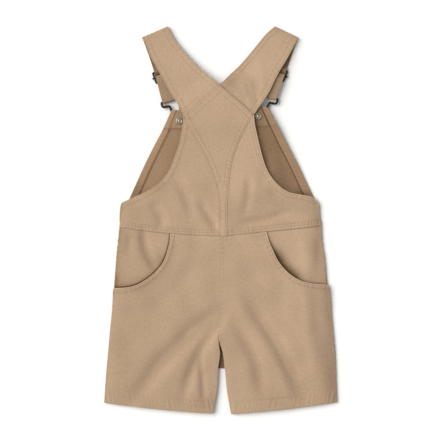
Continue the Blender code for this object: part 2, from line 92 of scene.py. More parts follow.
# Height of the bib and of the back above their rest: y, bib, back
LIFT: Table = (
    (-300, 0.0, 0.0), (0, 0.0, 0.0), (25, 0.0, 1.4), (60, 0.4, 3.4), (100, 2.4, 5.8),
    (140, 5.2, 7.4), (190, 5.5, 7.0), (216, 5.5, 6.2), (234, 5.5, 4.7), (246, 5.5, 3.2),
    (260, 5.5, 1.7), (274, 5.5, 0.9), (300, 5.5, 0.9),
)

# Side seams and inseams: y, left side, right side, left inseam, right inseam
SIDES: Table = (
    (-292, -175.0, 175.5, -11.6, 16.0), (-222, -169.8, 172.8, -3.2, 6.6),
    (-175, -166.2, 169.8, -2.4, -2.1), (-97, -159.0, 161.0, 0.0, 0.0),
    (-64, -157.0, 157.5, 0.0, 0.0), (-12, -150.5, 151.0, 0.0, 0.0),
    (30, -145.0, 146.0, 0.0, 0.0),
)

# Seams between the straps' centre piece and the bodice's sides, top to waist: x, y
CENTRE_SEAM: dict[Side, Table] = {
    Side.LEFT: (
        (-54.6, 153.5), (-39.5, 126.5), (-31.2, 112.0), (-18.6, 89.0), (-12.3, 73.0),
        (-7.0, 58.4), (-2.9, 42.6), (-1.0, 25.7), (-0.9, 18.0), (-0.7, -5.9), (-0.5, -23.8),
    ),
    Side.RIGHT: (
        (48.5, 158.0), (36.3, 135.5), (25.8, 113.0), (17.8, 89.0), (15.0, 73.0),
        (13.2, 57.5), (11.8, 42.5), (10.5, 26.0), (10.2, 18.0), (9.9, -5.9), (9.8, -23.6),
    ),
}

# Armholes, then down the side seams to the waist, matched to the seams' rows: x, y
ARMHOLE: dict[Side, Table] = {
    Side.LEFT: (
        (-55.2, 154.5), (-56.4, 142.7), (-59.9, 120.8), (-65.6, 102.5), (-74.9, 78.3),
        (-85.0, 62.3), (-108.0, 44.5), (-137.9, 30.8), (-148.6, 24.5), (-151.0, 3.2),
        (-150.3, -10.4),
    ),
    Side.RIGHT: (
        (50.1, 157.7), (51.2, 146.0), (57.3, 117.5), (63.0, 95.0), (69.6, 76.2),
        (80.0, 59.9), (101.6, 42.5), (137.3, 34.7), (146.6, 25.5), (148.8, 8.0),
        (151.3, -8.2),
    ),
}

# How many of those rows belong to the armhole, and to the seams' wider rows of stitches
ARMHOLE_ROWS = 9
WIDE_SEAM_ROWS = 6

# Back straps, shoulder to armhole: outer x, outer y, inner x, inner y
STRAP: dict[Side, Table] = {
    Side.LEFT: (
        (-117.5, 274.0, -78.8, 290.6), (-110.3, 260.0, -70.4, 274.5),
        (-104.9, 245.4, -62.0, 262.2), (-98.7, 234.3, -51.3, 249.2),
        (-88.2, 215.6, -34.2, 230.7), (-78.2, 197.0, -15.5, 214.8),
        (-72.0, 185.7, -0.5, 201.5), (-65.7, 177.0, 16.0, 187.2),
        (-59.6, 165.8, 32.6, 173.7), (-54.6, 153.5, 48.5, 158.0),
    ),
    Side.RIGHT: (
        (116.7, 274.0, 81.9, 290.6), (111.0, 262.2, 68.1, 278.3),
        (104.9, 250.7, 57.3, 265.2), (97.2, 237.0, 44.6, 249.5),
        (89.6, 224.7, 29.9, 232.4), (81.9, 210.2, 14.6, 217.8), (74.3, 194.0, 1.0, 204.5),
        (68.9, 185.0, -17.0, 191.0), (57.0, 167.9, -33.5, 176.0),
        (51.2, 158.6, -48.2, 158.6),
    ),
}

# Edge of the right strap, hidden under the left one: x, y from the crossing down
HIDDEN_EDGE: Table = ((1.0, 204.5), (-47.7, 159.5))

# Width over which the cloth climbs onto that edge, and how far from it the climb ends
CROSSING_RAMP = 30.0
CROSSING_MARGIN = 2.0

# Lower ends of the front straps: outer x, outer y, inner x, inner y
FRONT_END: dict[Side, Row] = {
    Side.LEFT: (-85.7, 173.9, -55.4, 183.5),
    Side.RIGHT: (83.0, 179.2, 53.7, 188.4),
}

# Distance of each slider from its shoulder fold, and the middle of each button: x, y
SLIDER_ALONG: dict[Side, float] = {Side.LEFT: 63.5, Side.RIGHT: 61.0}
BUTTON: dict[Side, Row] = {Side.LEFT: (-61.2, 148.4), Side.RIGHT: (57.0, 155.3)}

# Back of each leg, waist to hem: outer x, outer y, inner x, inner y
LEG: dict[Side, Table] = {
    Side.LEFT: (
        (-74.5, -20.8, -1.1, -24.8), (-75.4, -28.5, -1.1, -33.0),
        (-77.9, -41.0, -1.1, -47.0), (-84.2, -60.0, -1.2, -66.0),
        (-96.8, -77.0, -1.4, -84.0), (-109.5, -87.5, -1.5, -100.0),
        (-126.3, -97.0, -1.7, -116.0), (-141.0, -100.5, -1.9, -132.0),
        (-160.0, -102.2, -2.2, -150.0), (-162.0, -131.6, -2.6, -175.0),
        (-165.0, -161.6, -0.5, -200.0), (-168.2, -197.6, -3.2, -222.0),
        (-171.5, -235.0, -5.3, -253.7), (-174.0, -273.6, -11.6, -289.5),
    ),
    Side.RIGHT: (
        (67.7, -18.0, -0.8, -24.8), (72.9, -30.6, -0.8, -33.0), (79.2, -45.3, -0.8, -47.0),
        (86.8, -60.8, -0.9, -66.0), (97.2, -73.9, -1.1, -84.0),
        (110.0, -84.6, -1.2, -100.0), (127.2, -92.4, -1.4, -116.0),
        (144.5, -95.3, -1.6, -132.0), (161.5, -97.0, -1.9, -150.0),
        (165.6, -127.0, -2.3, -175.0), (169.0, -166.0, 4.0, -200.0),
        (171.9, -200.6, 6.6, -222.0), (173.6, -239.6, 9.8, -253.7),
        (174.6, -272.6, 16.0, -290.6),
    ),
}

# Rows of the pocket opening, the row of the crotch, and the y where the centre lap ends
SCOOP_ROWS = 9
CROTCH_ROW = 9
CROTCH_FOOT = -170.0

# Sag of the hems and of each half of the waist seam in their middles
HEM_BOW = 1.6
WAIST_BOW: dict[Side, float] = {Side.LEFT: 2.6, Side.RIGHT: 0.0}

# Front of each leg, waist to hem: outer x, outer y, inner x, inner y
FRONT: dict[Side, Table] = {
    Side.LEFT: (
        (-150.3, -13.1, 0.9, -13.1), (-153.4, -32.6, 0.9, -40.0),
        (-156.6, -64.0, 0.9, -80.0), (-159.6, -102.2, 0.9, -120.0),
        (-161.7, -131.6, 0.9, -155.0), (-164.7, -161.6, 0.9, -190.0),
        (-167.9, -197.6, 0.9, -221.4), (-168.2, -200.0, -3.4, -222.4),
        (-171.2, -235.0, -5.6, -253.7), (-173.7, -273.2, -11.9, -289.0),
    ),
    Side.RIGHT: (
        (150.3, -13.1, 1.2, -13.1), (152.6, -32.6, 1.2, -40.0),
        (157.8, -74.6, 1.2, -80.0), (160.8, -97.0, 1.2, -120.0),
        (165.2, -127.0, 1.2, -155.0), (168.6, -166.0, 1.2, -190.0),
        (171.6, -200.0, 1.2, -221.4), (171.8, -202.0, 6.9, -222.4),
        (173.3, -239.6, 10.1, -253.7), (174.3, -272.2, 16.3, -290.1),
    ),
}

# Front bib, waist to top: left x, left y, right x, right y
BIB: Table = (
    (-150.3, -12.8, 150.3, -12.8), (-150.5, 5.0, 148.5, 8.0), (-147.5, 24.0, 145.8, 25.0),
    (-136.8, 31.2, 140.8, 32.4), (-125.3, 56.6, 129.2, 56.6), (-113.9, 81.8, 117.0, 81.8),
    (-96.6, 116.0, 98.9, 116.0), (-86.3, 135.4, 86.3, 140.4), (-73.0, 164.8, 70.7, 169.0),
)

# Widths of the side hems up the bib, what each side adds to them, and their first bib row
BIB_HEM: Row = (12.5, 12.2, 12.0, 11.6, 10.6, 8.4)
WIDER_HEM: dict[Side, float] = {Side.LEFT: 0.0, Side.RIGHT: 2.0}
FIRST_HEM_ROW = 3

# Hip facings behind the pocket openings, waist to foot: outer x, outer y, inner x, inner y
HIP: dict[Side, Table] = {
    Side.LEFT: (
        (-150.4, -11.4, -63.0, -22.6), (-153.5, -32.6, -64.0, -35.0),
        (-155.7, -53.0, -68.0, -55.0), (-157.0, -75.0, -76.0, -75.0),
        (-157.0, -93.0, -90.0, -93.0), (-158.8, -106.0, -108.0, -106.0),
        (-160.8, -114.0, -125.0, -114.0),
    ),
    Side.RIGHT: (
        (151.2, -9.2, 57.0, -19.2), (152.7, -32.6, 61.0, -35.0),
        (156.0, -53.6, 67.0, -52.0), (158.0, -74.6, 75.0, -69.0),
        (158.7, -88.0, 87.0, -84.0), (161.3, -100.0, 103.0, -98.0),
        (162.3, -110.0, 122.0, -108.0),
    ),
}

# Folds of the back: start x, start y, end x, end y, bend, half width, height
FOLDS: Table = (
    (-4.0, -138.0, -126.0, -262.0, -6.0, 13.0, -3.3),
    (-1.0, -152.0, -53.0, -258.0, -6.5, 8.5, -2.5),
    (-30.0, -206.0, -24.0, -264.0, 0.0, 5.5, -1.6),
    (22.0, -156.0, 62.0, -252.0, 9.0, 10.5, -2.8),
    (34.0, -130.0, 98.0, -250.0, 6.0, 10.0, 1.2),
    (48.0, -132.0, 119.0, -252.0, 5.5, 11.5, -3.7),
    (128.0, -112.0, 141.0, -232.0, 2.0, 10.0, 1.6),
    (-66.0, 66.0, -42.0, 8.0, 1.0, 9.0, -1.7),
    (-29.0, 24.0, -5.0, -14.0, 1.0, 7.0, -2.2),
    (-101.0, 24.0, -85.0, -6.0, 2.0, 9.0, -2.0),
    (43.0, 60.0, 37.0, 12.0, 2.0, 6.5, -1.3),
    (97.0, 10.0, 30.0, -7.0, 2.0, 6.0, -1.4),
    (149.0, 30.0, 148.0, 0.0, 1.0, 6.0, -1.2),
    (-116.0, -18.0, -97.5, -72.0, -4.2, 7.0, -2.6),
    (-138.0, -24.0, -140.0, -52.0, 1.0, 7.0, -1.2),
    (124.0, -34.0, 134.0, -82.0, 2.0, 10.0, 1.0),
)

# Creases of the right strap near the crossing, in the same columns
STRAP_CREASES: Table = (
    (33.0, 206.0, 45.0, 170.0, 1.0, 4.0, 0.8),
    (50.0, 204.0, 56.0, 172.0, 1.0, 4.0, -0.9),
    (31.0, 226.0, 58.0, 202.0, 1.0, 6.0, -1.1),
    (66.0, 240.0, 72.0, 196.0, 2.0, 6.0, -0.5),
)

# Spots of painted shade (negative tone) and painted light (positive tone) on the back: x, y, reach
# in x, reach in y, tone
PAINTED_SHADING: Table = (
    (-38.0, -98.0, 38.0, 55.0, 0.07), (-110.0, -115.0, 28.0, 34.0, -0.06),
    (98.0, -118.0, 11.0, 32.0, 0.15), (120.0, -180.0, 12.0, 40.0, 0.06),
    (31.0, -235.0, 10.0, 30.0, 0.11), (14.0, -138.0, 10.0, 16.0, -0.08),
    (-60.0, 15.0, 30.0, 30.0, 0.04), (-135.0, 6.0, 22.0, 20.0, -0.09),
    (20.0, 34.0, 12.0, 26.0, 0.1), (-90.0, -30.0, 13.0, 16.0, 0.2),
    (-38.0, -20.0, 14.0, 12.0, 0.14), (143.0, -46.0, 6.0, 22.0, -0.32),
    (-98.0, 52.0, 26.0, 12.0, -0.16), (60.0, 66.0, 9.0, 13.0, -0.18),
    (75.0, 42.0, 9.0, 13.0, -0.22), (88.0, 24.0, 11.0, 9.0, -0.1), (28.0, -12.0, 14.0, 8.0, -0.1),
    (60.0, 0.0, 34.0, 7.0, -0.08), (-92.0, -60.0, 9.0, 9.0, -0.14),
    (122.0, -38.0, 13.0, 26.0, 0.1), (-105.0, -172.0, 14.0, 18.0, 0.09),
    (-152.0, -200.0, 16.0, 60.0, -0.05), (-11.0, -200.0, 5.0, 28.0, 0.1),
    (134.0, -165.0, 10.0, 30.0, -0.1), (147.0, -234.0, 7.0, 18.0, 0.1),
    (164.0, -245.0, 7.0, 25.0, -0.1), (124.0, -250.0, 9.0, 16.0, -0.1),
    (2.0, -102.0, 6.0, 40.0, 0.1), (56.0, 228.0, 10.0, 20.0, 0.12),
    (36.0, 190.0, 7.0, 14.0, -0.16), (14.0, 205.0, 14.0, 14.0, -0.3),
    (55.0, 200.0, 5.0, 14.0, -0.16), (101.0, 266.0, 14.0, 14.0, -0.09),
    (-55.0, 34.0, 10.0, 18.0, -0.12), (-20.0, 48.0, 8.0, 14.0, -0.09),
    (-3.0, 20.0, 6.0, 34.0, 0.15), (-34.0, -272.0, 24.0, 14.0, -0.11),
    (-27.0, -235.0, 5.0, 22.0, -0.1), (155.0, -195.0, 8.0, 24.0, -0.1),
    (-30.0, -208.0, 5.0, 26.0, -0.07), (0.0, -183.0, 4.0, 9.0, -0.1),
    (62.0, 218.0, 8.0, 12.0, 0.09), (-38.0, -165.0, 14.0, 14.0, 0.06),
    (108.0, -222.0, 14.0, 26.0, -0.08), (80.0, -138.0, 14.0, 16.0, 0.05),
    (60.0, -255.0, 12.0, 18.0, -0.08),
)

# Spots of painted shade and painted light on the bib's inner side, in the same columns
BIB_PAINTED_SHADING: Table = (
    (-92.0, 95.0, 26.0, 60.0, 0.08), (96.0, 66.0, 9.0, 26.0, -0.13), (76.0, 78.0, 6.0, 16.0, 0.2),
    (66.0, 148.0, 12.0, 14.0, -0.12), (121.0, 38.0, 22.0, 6.0, -0.6),
    (-127.0, 52.0, 8.0, 22.0, -0.25), (60.0, 129.0, 4.0, 13.0, 0.2),
    (-90.0, 122.0, 8.0, 22.0, 0.08),
)

# Slow waves of the bib's inner side
BIB_FOLDS: Table = (
    (-96.0, 96.0, -112.0, 52.0, 2.0, 9.0, -0.8),
    (84.0, 128.0, 96.0, 66.0, 2.0, 7.0, -0.9),
    (66.0, 118.0, 78.0, 70.0, 2.0, 8.0, 0.8),
    (100.0, 90.0, 118.0, 50.0, 1.0, 7.0, 0.7),
)


# Painted shade of each strap's front run, which lies in the back strap's shadow, and how far its
# middle is pulled towards the neck
FRONT_RUN_SHADE: dict[Side, float] = {Side.LEFT: -0.38, Side.RIGHT: -0.27}
FRONT_TUCK: dict[Side, float] = {Side.LEFT: 1.8, Side.RIGHT: 0.0}


def ease(value: Array) -> Array:
    """Smooth step from 0 to 1."""
    value = np.clip(value, 0.0, 1.0)
    return value * value * (3.0 - 2.0 * value)


def ramp(value: Array, start: float, width: float) -> Array:
    """Smooth step that starts to rise at start and ends a width further on."""
    return ease((value - start) / width)


def bell(distance: Array, reach: float) -> Array:
    """Soft bump of height 1 on a line or spot."""
    return np.exp(-((distance / reach) ** 2))


def decay(distance: Array, reach: float) -> Array:
    """Share that falls from 1 at an edge towards 0 away from it."""
    return np.exp(-distance / reach)


def arc(middle: float, height: float, radius: float, degrees: range) -> list[Row]:
    """Points of a circle's arc, as along and height."""
    turns = [math.radians(value) for value in degrees]
    return [(middle + radius * math.cos(turn), height + radius * math.sin(turn)) for turn in turns]


def flow(rows: Table, steps: int) -> Array:
    """Pass a smooth curve without overshoot through every column of a table.

    Args:
        rows: the table, one row for each section or point.
        steps: steps from each row to the next.

    Returns:
        The finer table, as an array of rows.
    """
    knots = np.array(rows, dtype=float)
    change = np.diff(knots, axis=0)
    slope = np.zeros_like(knots)
    slope[0], slope[-1] = change[0], change[-1]
    before, after = change[:-1], change[1:]
    same_way = before * after > 0
    total = np.where(same_way, before + after, 1.0)
    slope[1:-1] = np.where(same_way, 2 * before * after / total, 0.0)
    t = (np.arange(steps) / steps)[None, :, None]
    first, second = knots[:-1, None], knots[1:, None]
    leave, arrive = slope[:-1, None], slope[1:, None]
    curve = (
        (2 * t**3 - 3 * t**2 + 1) * first
        + (t**3 - 2 * t**2 + t) * leave
        + (3 * t**2 - 2 * t**3) * second
        + (t**3 - t**2) * arrive
    )
    return np.vstack([curve.reshape(-1, knots.shape[1]), knots[-1:]])


def column(table: Table, y: Array, index: int) -> Array:
    """Read one column of a table whose first column is y."""
    rows = np.array(sorted(table))
    return np.interp(y, rows[:, 0], rows[:, index])


def rope(along: Array, seed: float = 0.0) -> Array:
    """Uneven wave from -1 to 1 with a length of about 1, as puckers along a seam have."""
    drift = 1.1 * np.sin(0.83 * along + 2.0 * seed) + 0.7 * np.sin(2.17 * along + seed)
    swell = 0.65 + 0.35 * np.sin(1.37 * along + 5.0 * seed)
    return swell * np.sin(2.0 * math.pi * along + drift)


@dataclass
class Line:
    """A line of a seam, an edge or a row of stitches in plan."""

    points: Array

    @classmethod
    def through(cls, rows: Table, steps: int = 8) -> "Line":
        """Draw a smooth line through the first two columns of a table."""
        return cls(flow([row[:2] for row in rows], steps))

    def lengths(self) -> Array:
        """Distance along the line at each of its points."""
        steps = np.linalg.norm(np.diff(self.points, axis=0), axis=1)
        return np.concatenate([[0.0], np.cumsum(steps)])

    def measure(self, x: Array, y: Array) -> tuple[Array, Array]:
        """Measure points against the line.

        Args:
            x: plan x of the points.
            y: plan y of the points.

        Returns:
            Each point's distance from the line and how far along the line it lies.
        """
        start, run = self.points[:-1], np.diff(self.points, axis=0)
        square = np.maximum((run**2).sum(axis=1), 1e-9)
        spots = np.stack([np.ravel(x), np.ravel(y)], axis=1)
        away = spots[:, None, :] - start[None, :, :]
        share = np.clip((away * run[None]).sum(axis=2) / square[None], 0.0, 1.0)
        gap = np.linalg.norm(away - share[..., None] * run[None], axis=2)
        nearest = gap.argmin(axis=1)
        pick = np.arange(len(spots))
        along = self.lengths()[nearest] + share[pick, nearest] * np.sqrt(square[nearest])
        return gap[pick, nearest].reshape(np.shape(x)), along.reshape(np.shape(x))

    def beyond(self, x: Array, y: Array) -> Array:
        """Signed distance from the straight line through its ends, positive on its left."""
        start, end = self.points[0], self.points[-1]
        run = (end - start) / np.linalg.norm(end - start)
        return run[0] * (y - start[1]) - run[1] * (x - start[0])

    def beside(self, distance: float) -> "Line":
        """Copy the line at a distance, positive to its left."""
        run = np.gradient(self.points, axis=0)
        run /= np.linalg.norm(run, axis=1)[:, None]
        left = np.stack([-run[:, 1], run[:, 0]], axis=1)
        return Line(self.points + left * distance)

    def walk(self, pitch: float, start: float = 0.0) -> tuple[Array, Array]:
        """Step along the line.

        Args:
            pitch: length of a step.
            start: length left out at each end.

        Returns:
            The middle of each step and its heading.
        """
        lengths = self.lengths()
        count = max(1, int((lengths[-1] - 2 * start) / pitch))
        at = start + (np.arange(count) + 0.5) * (lengths[-1] - 2 * start) / count
        spots = np.stack([np.interp(at, lengths, self.points[:, k]) for k in (0, 1)], axis=1)
        ahead = np.stack([np.interp(at + 0.4, lengths, self.points[:, k]) for k in (0, 1)], axis=1)
        behind = np.stack([np.interp(at - 0.4, lengths, self.points[:, k]) for k in (0, 1)], axis=1)
        heading = ahead - behind
        return spots, heading / np.linalg.norm(heading, axis=1)[:, None]


def bowed(start: Row, end: Row, bow: float) -> Line:
    """Draw a line between two points that sags towards -Y by bow in its middle."""
    share = np.linspace(0.0, 1.0, 60)
    x = start[0] + (end[0] - start[0]) * share
    y = start[1] + (end[1] - start[1]) * share - bow * np.sin(math.pi * share)
    return Line(np.stack([x, y], axis=1))


@dataclass
class Seam:
    """A sewn edge: a thicker band with puckers and the grooves of its rows of stitches."""

    line: Line
    left: bool
    rows: Row
    band: float
    rise: float = 0.45
    pucker: float = 0.16
    wave: float = 6.0
    seed: float = 0.0
    groove: float = 0.2
    lean: float = 0.25
    groove_width: float = 0.75
    groove_tone: float = 3.2
    wave_tone: float = 0.5

    def relief(self, x: Array, y: Array) -> tuple[Array, Array]:
        """Work out the seam's form.

        Args:
            x: plan x of the points.
            y: plan y of the points.

        Returns:
            Height added to the cloth and its tone: painted light on the ridges of the puckers and
                painted shade in the grooves.
        """
        gap, along = self.line.measure(x, y)
        band = 1.0 - ease((gap - self.band) / 2.0)
        swell = np.sin(math.pi * np.clip((gap + 1.0) / (self.band + 4.0), 0.0, 1.0))
        wave = rope((along + self.lean * gap) / self.wave, self.seed) * swell
        height = self.rise * band + self.pucker * wave
        tone = self.wave_tone * wave
        for row in self.rows:
            trench = bell(gap - row, self.groove_width)
            height = height - self.groove * trench
            tone = tone - self.groove_tone * self.groove * trench
        return height, tone

    def stitch_lines(self) -> list[Line]:
        """Lines of the seam's rows of stitches."""
        sign = 1.0 if self.left else -1.0
        return [self.line.beside(sign * row) for row in self.rows]


def sewn(seams: list[Seam], x: Array, y: Array) -> tuple[Array, Array]:
    """Height and tone that seams add at plan points."""
    height, tone = np.zeros_like(x), np.zeros_like(x)
    for seam in seams:
        rise, shade = seam.relief(x, y)
        height, tone = height + rise, tone + shade
    return height, tone


def fold_height(folds: Table, x: Array, y: Array) -> Array:
    """Sum soft ridges and troughs, each along a bent line, at plan points."""
    height = np.zeros_like(x)
    for start_x, start_y, end_x, end_y, bend, half_width, rise in folds:
        run_x, run_y = end_x - start_x, end_y - start_y
        length = math.hypot(run_x, run_y)
        along = ((x - start_x) * run_x + (y - start_y) * run_y) / length**2
        across = (run_x * (y - start_y) - run_y * (x - start_x)) / length
        across = across - bend * np.sin(math.pi * along)
        fade = ease((along + 0.25) / 0.45) * ease((1.25 - along) / 0.45)
        height += rise * fade * bell(across, half_width)
    return height


def paint_shading_spots(places: Table, x: Array, y: Array) -> Array:
    """Sum soft round spots of painted shade and painted light at plan points."""
    tone = np.zeros_like(x)
    for at_x, at_y, reach_x, reach_y, change in places:
        away = ((x - at_x) / reach_x) ** 2 + ((y - at_y) / reach_y) ** 2
        tone += change * np.exp(-away)
    return tone


@dataclass
class Lie:
    """How the layers lie on each other: heights over the surface by plan position."""

    loft: float = 3.4
    drape: float = 0.5
    crease: float = 1.2
    bib_crease: float = 0.6
    softness: float = 0.35
    strap_step: float = STRAP_CLOTH + 0.7
    gape: float = 1.3
    gape_width: float = 9.0
    edge_roll: float = 12.0
    inseam_roll: Row = (0.25, 0.6)
    crotch_y: float = -175.0
    inseam_start: float = 30.0
    calm: float = 0.75
    seam_pull: float = 5.0
    pocket_cover: float = 20.0
    pocket_fade: float = 26.0
    waist_band: float = 9.0
    waist_fade: float = 16.0

    def __post_init__(self) -> None:
        """Draw the lines that the layers follow."""
        self.hidden_edge = Line(np.array(HIDDEN_EDGE))
        self.scoops = {side: Line.through(LEG[side][:SCOOP_ROWS], 4) for side in Side}
        halves = [
            bowed(ARMHOLE[side][-1], CENTRE_SEAM[side][-1], WAIST_BOW[side]).points for side in Side
        ]
        self.waist = Line(np.vstack([halves[0], halves[1][::-1]]))

    def bib(self, x: Array, y: Array) -> Array:
        """Underside of the bib, which its buttons raise at the top."""
        waves = fold_height(BIB_FOLDS, x, y) * ramp(y, 30.0, 40.0)
        return column(LIFT, y, 1) + self.bib_crease * waves

    @staticmethod
    def from_side(x: Array, y: Array) -> Array:
        """Distance from the nearer side seam, 0 beyond it."""
        return np.maximum(np.minimum(x - column(SIDES, y, 1), column(SIDES, y, 2) - x), 0.0)

    @staticmethod
    def from_inseam(x: Array, y: Array) -> Array:
        """Distance from the inseam of the leg on which a point lies, 0 beyond it."""
        left, right = column(SIDES, y, 3) - x, x - column(SIDES, y, 4)
        return np.maximum(np.where(x < column(SIDES, y, 3), left, right), 0.0)

    @staticmethod
    def wander(x: Array, y: Array) -> Array:
        """Slow uneven waves of cloth that lies loose, from about -1.8 to 1.8."""
        short = np.sin(x / 11.0 + 1.6 * np.sin(y / 23.0)) * np.sin(y / 14.0 + x / 31.0)
        return short + 0.8 * np.sin(x / 17.0 + y / 29.0 + 1.0) * np.sin(y / 21.0 - x / 13.0)

    def base(self, x: Array, y: Array) -> Array:
        """Underside of the back, rolled down at the sides and inseams."""
        roll = 1.0 - decay(self.from_side(x, y), self.edge_roll)
        below = ramp(-y, -self.crotch_y, self.inseam_start)
        depth = np.where(x < 0.0, *self.inseam_roll)
        roll = roll * (1.0 - depth * below * decay(self.from_inseam(x, y), self.edge_roll))
        calm = 1.0 - self.calm * ramp(y, 20.0, 60.0)
        loose = (self.loft + self.drape * self.wander(x, y)) * roll * calm
        swell = loose + self.crease * fold_height(FOLDS, x, y) * roll
        soft = self.softness * np.log1p(np.exp(swell / self.softness))
        return LAYER + column(LIFT, y, 2) + soft

    def wear_and_painted_shading(self, x: Array, y: Array) -> Array:
        """Tone of the back: darker towards its hems and low on its right side, painted shade along
        its side seams where the cloth rolls away, and spots of painted shade and light.
        """
        low = -0.04 * ramp(-y, 120.0, 100.0) - 0.1 * ramp(x, 140.0, 25.0) * (y < -100.0)
        # Painted shade along the side seams, where the cloth rolls down
        sides = -0.12 * decay(self.from_side(x, y), 9.0)
        return low + sides + paint_shading_spots(PAINTED_SHADING, x, y)

    def crossing(self, x: Array, y: Array) -> Array:
        """Rise of the top strap and its neighbours over the strap beneath."""
        beyond = self.hidden_edge.beyond(x, y)
        over = ease((beyond + CROSSING_RAMP + CROSSING_MARGIN) / CROSSING_RAMP)
        return self.strap_step * over * ramp(y, 112.0, 40.0)

    def scoop_gap(self, x: Array, y: Array) -> Array:
        """Distance from the nearer pocket opening."""
        return np.minimum(*[self.scoops[side].measure(x, y)[0] for side in Side])

    def cover(self, x: Array, y: Array) -> Array:
        """Share of a hip facing's layer that lies under a point, full near a pocket."""
        return 1.0 - ramp(self.scoop_gap(x, y), self.pocket_cover, self.pocket_fade)

    def leg(self, x: Array, y: Array) -> Array:
        """Underside of the back of a leg, higher over a hip facing and at its gaping edge."""
        gape = self.gape * ramp(-y, 18.0, 26.0) * bell(self.scoop_gap(x, y), self.gape_width)
        return self.base(x, y) + LAYER * self.cover(x, y) + gape

    def facing(self, x: Array, y: Array) -> Array:
        """Underside of a hip facing, which the waist seam draws up."""
        return self.base(x, y) + FACING_RISE * self.inland(x, y) * ramp(y, -34.0, 14.0)

    def inland(self, x: Array, y: Array) -> Array:
        """Share that grows from 0 at a side seam to 1 some way in."""
        return 1.0 - decay(self.from_side(x, y), self.seam_pull)

    def tucked(self, x: Array, y: Array) -> Array:
        """Depth to which what lies under the waist is pressed down there."""
        edge = self.waist.points[np.argsort(self.waist.points[:, 0])]
        above = y - np.interp(x, edge[:, 0], edge[:, 1])
        return (LAP_RISE - WAIST_RISE) * ramp(above, -0.4, 1.2)

    def bodice(self, x: Array, y: Array) -> Array:
        """Underside of the bodice, which laps over the shorts at the waist."""
        base = self.base(x, y)
        gap = self.waist.measure(x, y)[0]
        lap = 1.0 - ramp(gap, self.waist_band, self.waist_fade)
        facing = (1.0 - self.cover(x, y)) * ramp(np.abs(x), 60.0, 12.0) * self.inland(x, y)
        rise = self.leg(x, y) - base + LAYER * facing + WAIST_RISE
        return base + self.crossing(x, y) + lap * rise

    def floor(self, x: Array, y: Array) -> Array:
        """Underside of what lies on the surface."""
        return np.zeros_like(x)


class Socket:
    """A shader socket whose arithmetic adds Math nodes."""

    def __init__(self, nodes: "Nodes", link: bpy.types.NodeSocket) -> None:
        """Wrap a socket of a node tree."""
        self.nodes = nodes
        self.link = link

    def _math(self, operation: str, *values: "Socket | float") -> "Socket":
        """Add a Math node."""
        return self.nodes.add("ShaderNodeMath", {"operation": operation}, dict(enumerate(values)))

    def __add__(self, other: "Socket | float") -> "Socket":
        """Sum."""
        return self._math("ADD", self, other)

    __radd__ = __add__

    def __sub__(self, other: "Socket | float") -> "Socket":
        """Difference."""
        return self._math("SUBTRACT", self, other)

    def __rsub__(self, other: float) -> "Socket":
        """Difference from a number."""
        return self._math("SUBTRACT", other, self)

    def __mul__(self, other: "Socket | float") -> "Socket":
        """Product."""
        return self._math("MULTIPLY", self, other)

    __rmul__ = __mul__

    def sine(self) -> "Socket":
        """Sine."""
        return self._math("SINE", self)

    def clamp(self) -> "Socket":
        """Limit to the range from 0 to 1."""
        return self._math("MINIMUM", self._math("MAXIMUM", self, 0.0), 1.0)


class Nodes:
    """A material's node tree, with one method that adds any node."""

    def __init__(self, name: str) -> None:
        """Start a material with its Principled shader."""
        self.material = bpy.data.materials.new(name)
        self.material.use_nodes = True
        self.tree = self.material.node_tree
        self.shader = self.tree.nodes["Principled BSDF"]

    def connect(self, socket: bpy.types.NodeSocket, value: object) -> None:
        """Link a value to a socket, or set it there."""
        if isinstance(value, Socket):
            self.tree.links.new(value.link, socket)
        else:
            socket.default_value = value

    def add(
        self,
        kind: str,
        settings: dict | None = None,
        sockets: dict | None = None,
        out: int | str = 0,
    ) -> Socket:
        """Add a node.

        Args:
            kind: the node's type.
            settings: its own settings, set before its sockets.
            sockets: values or links by socket name or number.
            out: the output that is wanted.

        Returns:
            The wanted output.
        """
        node = self.tree.nodes.new(kind)
        for name, value in (settings or {}).items():
            if name == "stops":
                for stop, (position, colour) in zip(self._stops(node, len(value)), value):
                    stop.position = position
                    stop.color = (*colour, 1.0)
            else:
                setattr(node, name, value)
        for name, value in (sockets or {}).items():
            self.connect(node.inputs[name], value)
        return Socket(self, node.outputs[out])

    @staticmethod
    def _stops(node: bpy.types.Node, count: int) -> Iterable:
        """Give a ramp as many stops as are wanted."""
        while len(node.color_ramp.elements) < count:
            node.color_ramp.elements.new(0.5)
        return node.color_ramp.elements

    def mix(self, share: "Socket | float", first: object, second: object) -> Socket:
        """Mix two colours."""
        node = self.tree.nodes.new("ShaderNodeMix")
        node.data_type = "RGBA"
        self.connect(node.inputs[0], share)
        self.connect(node.inputs[6], first if isinstance(first, Socket) else (*first, 1.0))
        self.connect(node.inputs[7], second if isinstance(second, Socket) else (*second, 1.0))
        return Socket(self, node.outputs[2])

    def shade(self, **sockets: object) -> None:
        """Set or link sockets of the Principled shader, underscores standing for spaces."""
        for name, value in sockets.items():
            self.connect(self.shader.inputs[name.replace("_", " ")], value)


@dataclass(frozen=True)
class Finish:
    """What a piece is made of."""

    name: str

    def material(self) -> bpy.types.Material:
        """Make the finish, or find it if it is made."""
        return bpy.data.materials.get(self.name) or self.make(Nodes(self.name))

    def make(self, nodes: Nodes) -> bpy.types.Material:
        """Add the finish's nodes to a new material."""
        raise NotImplementedError


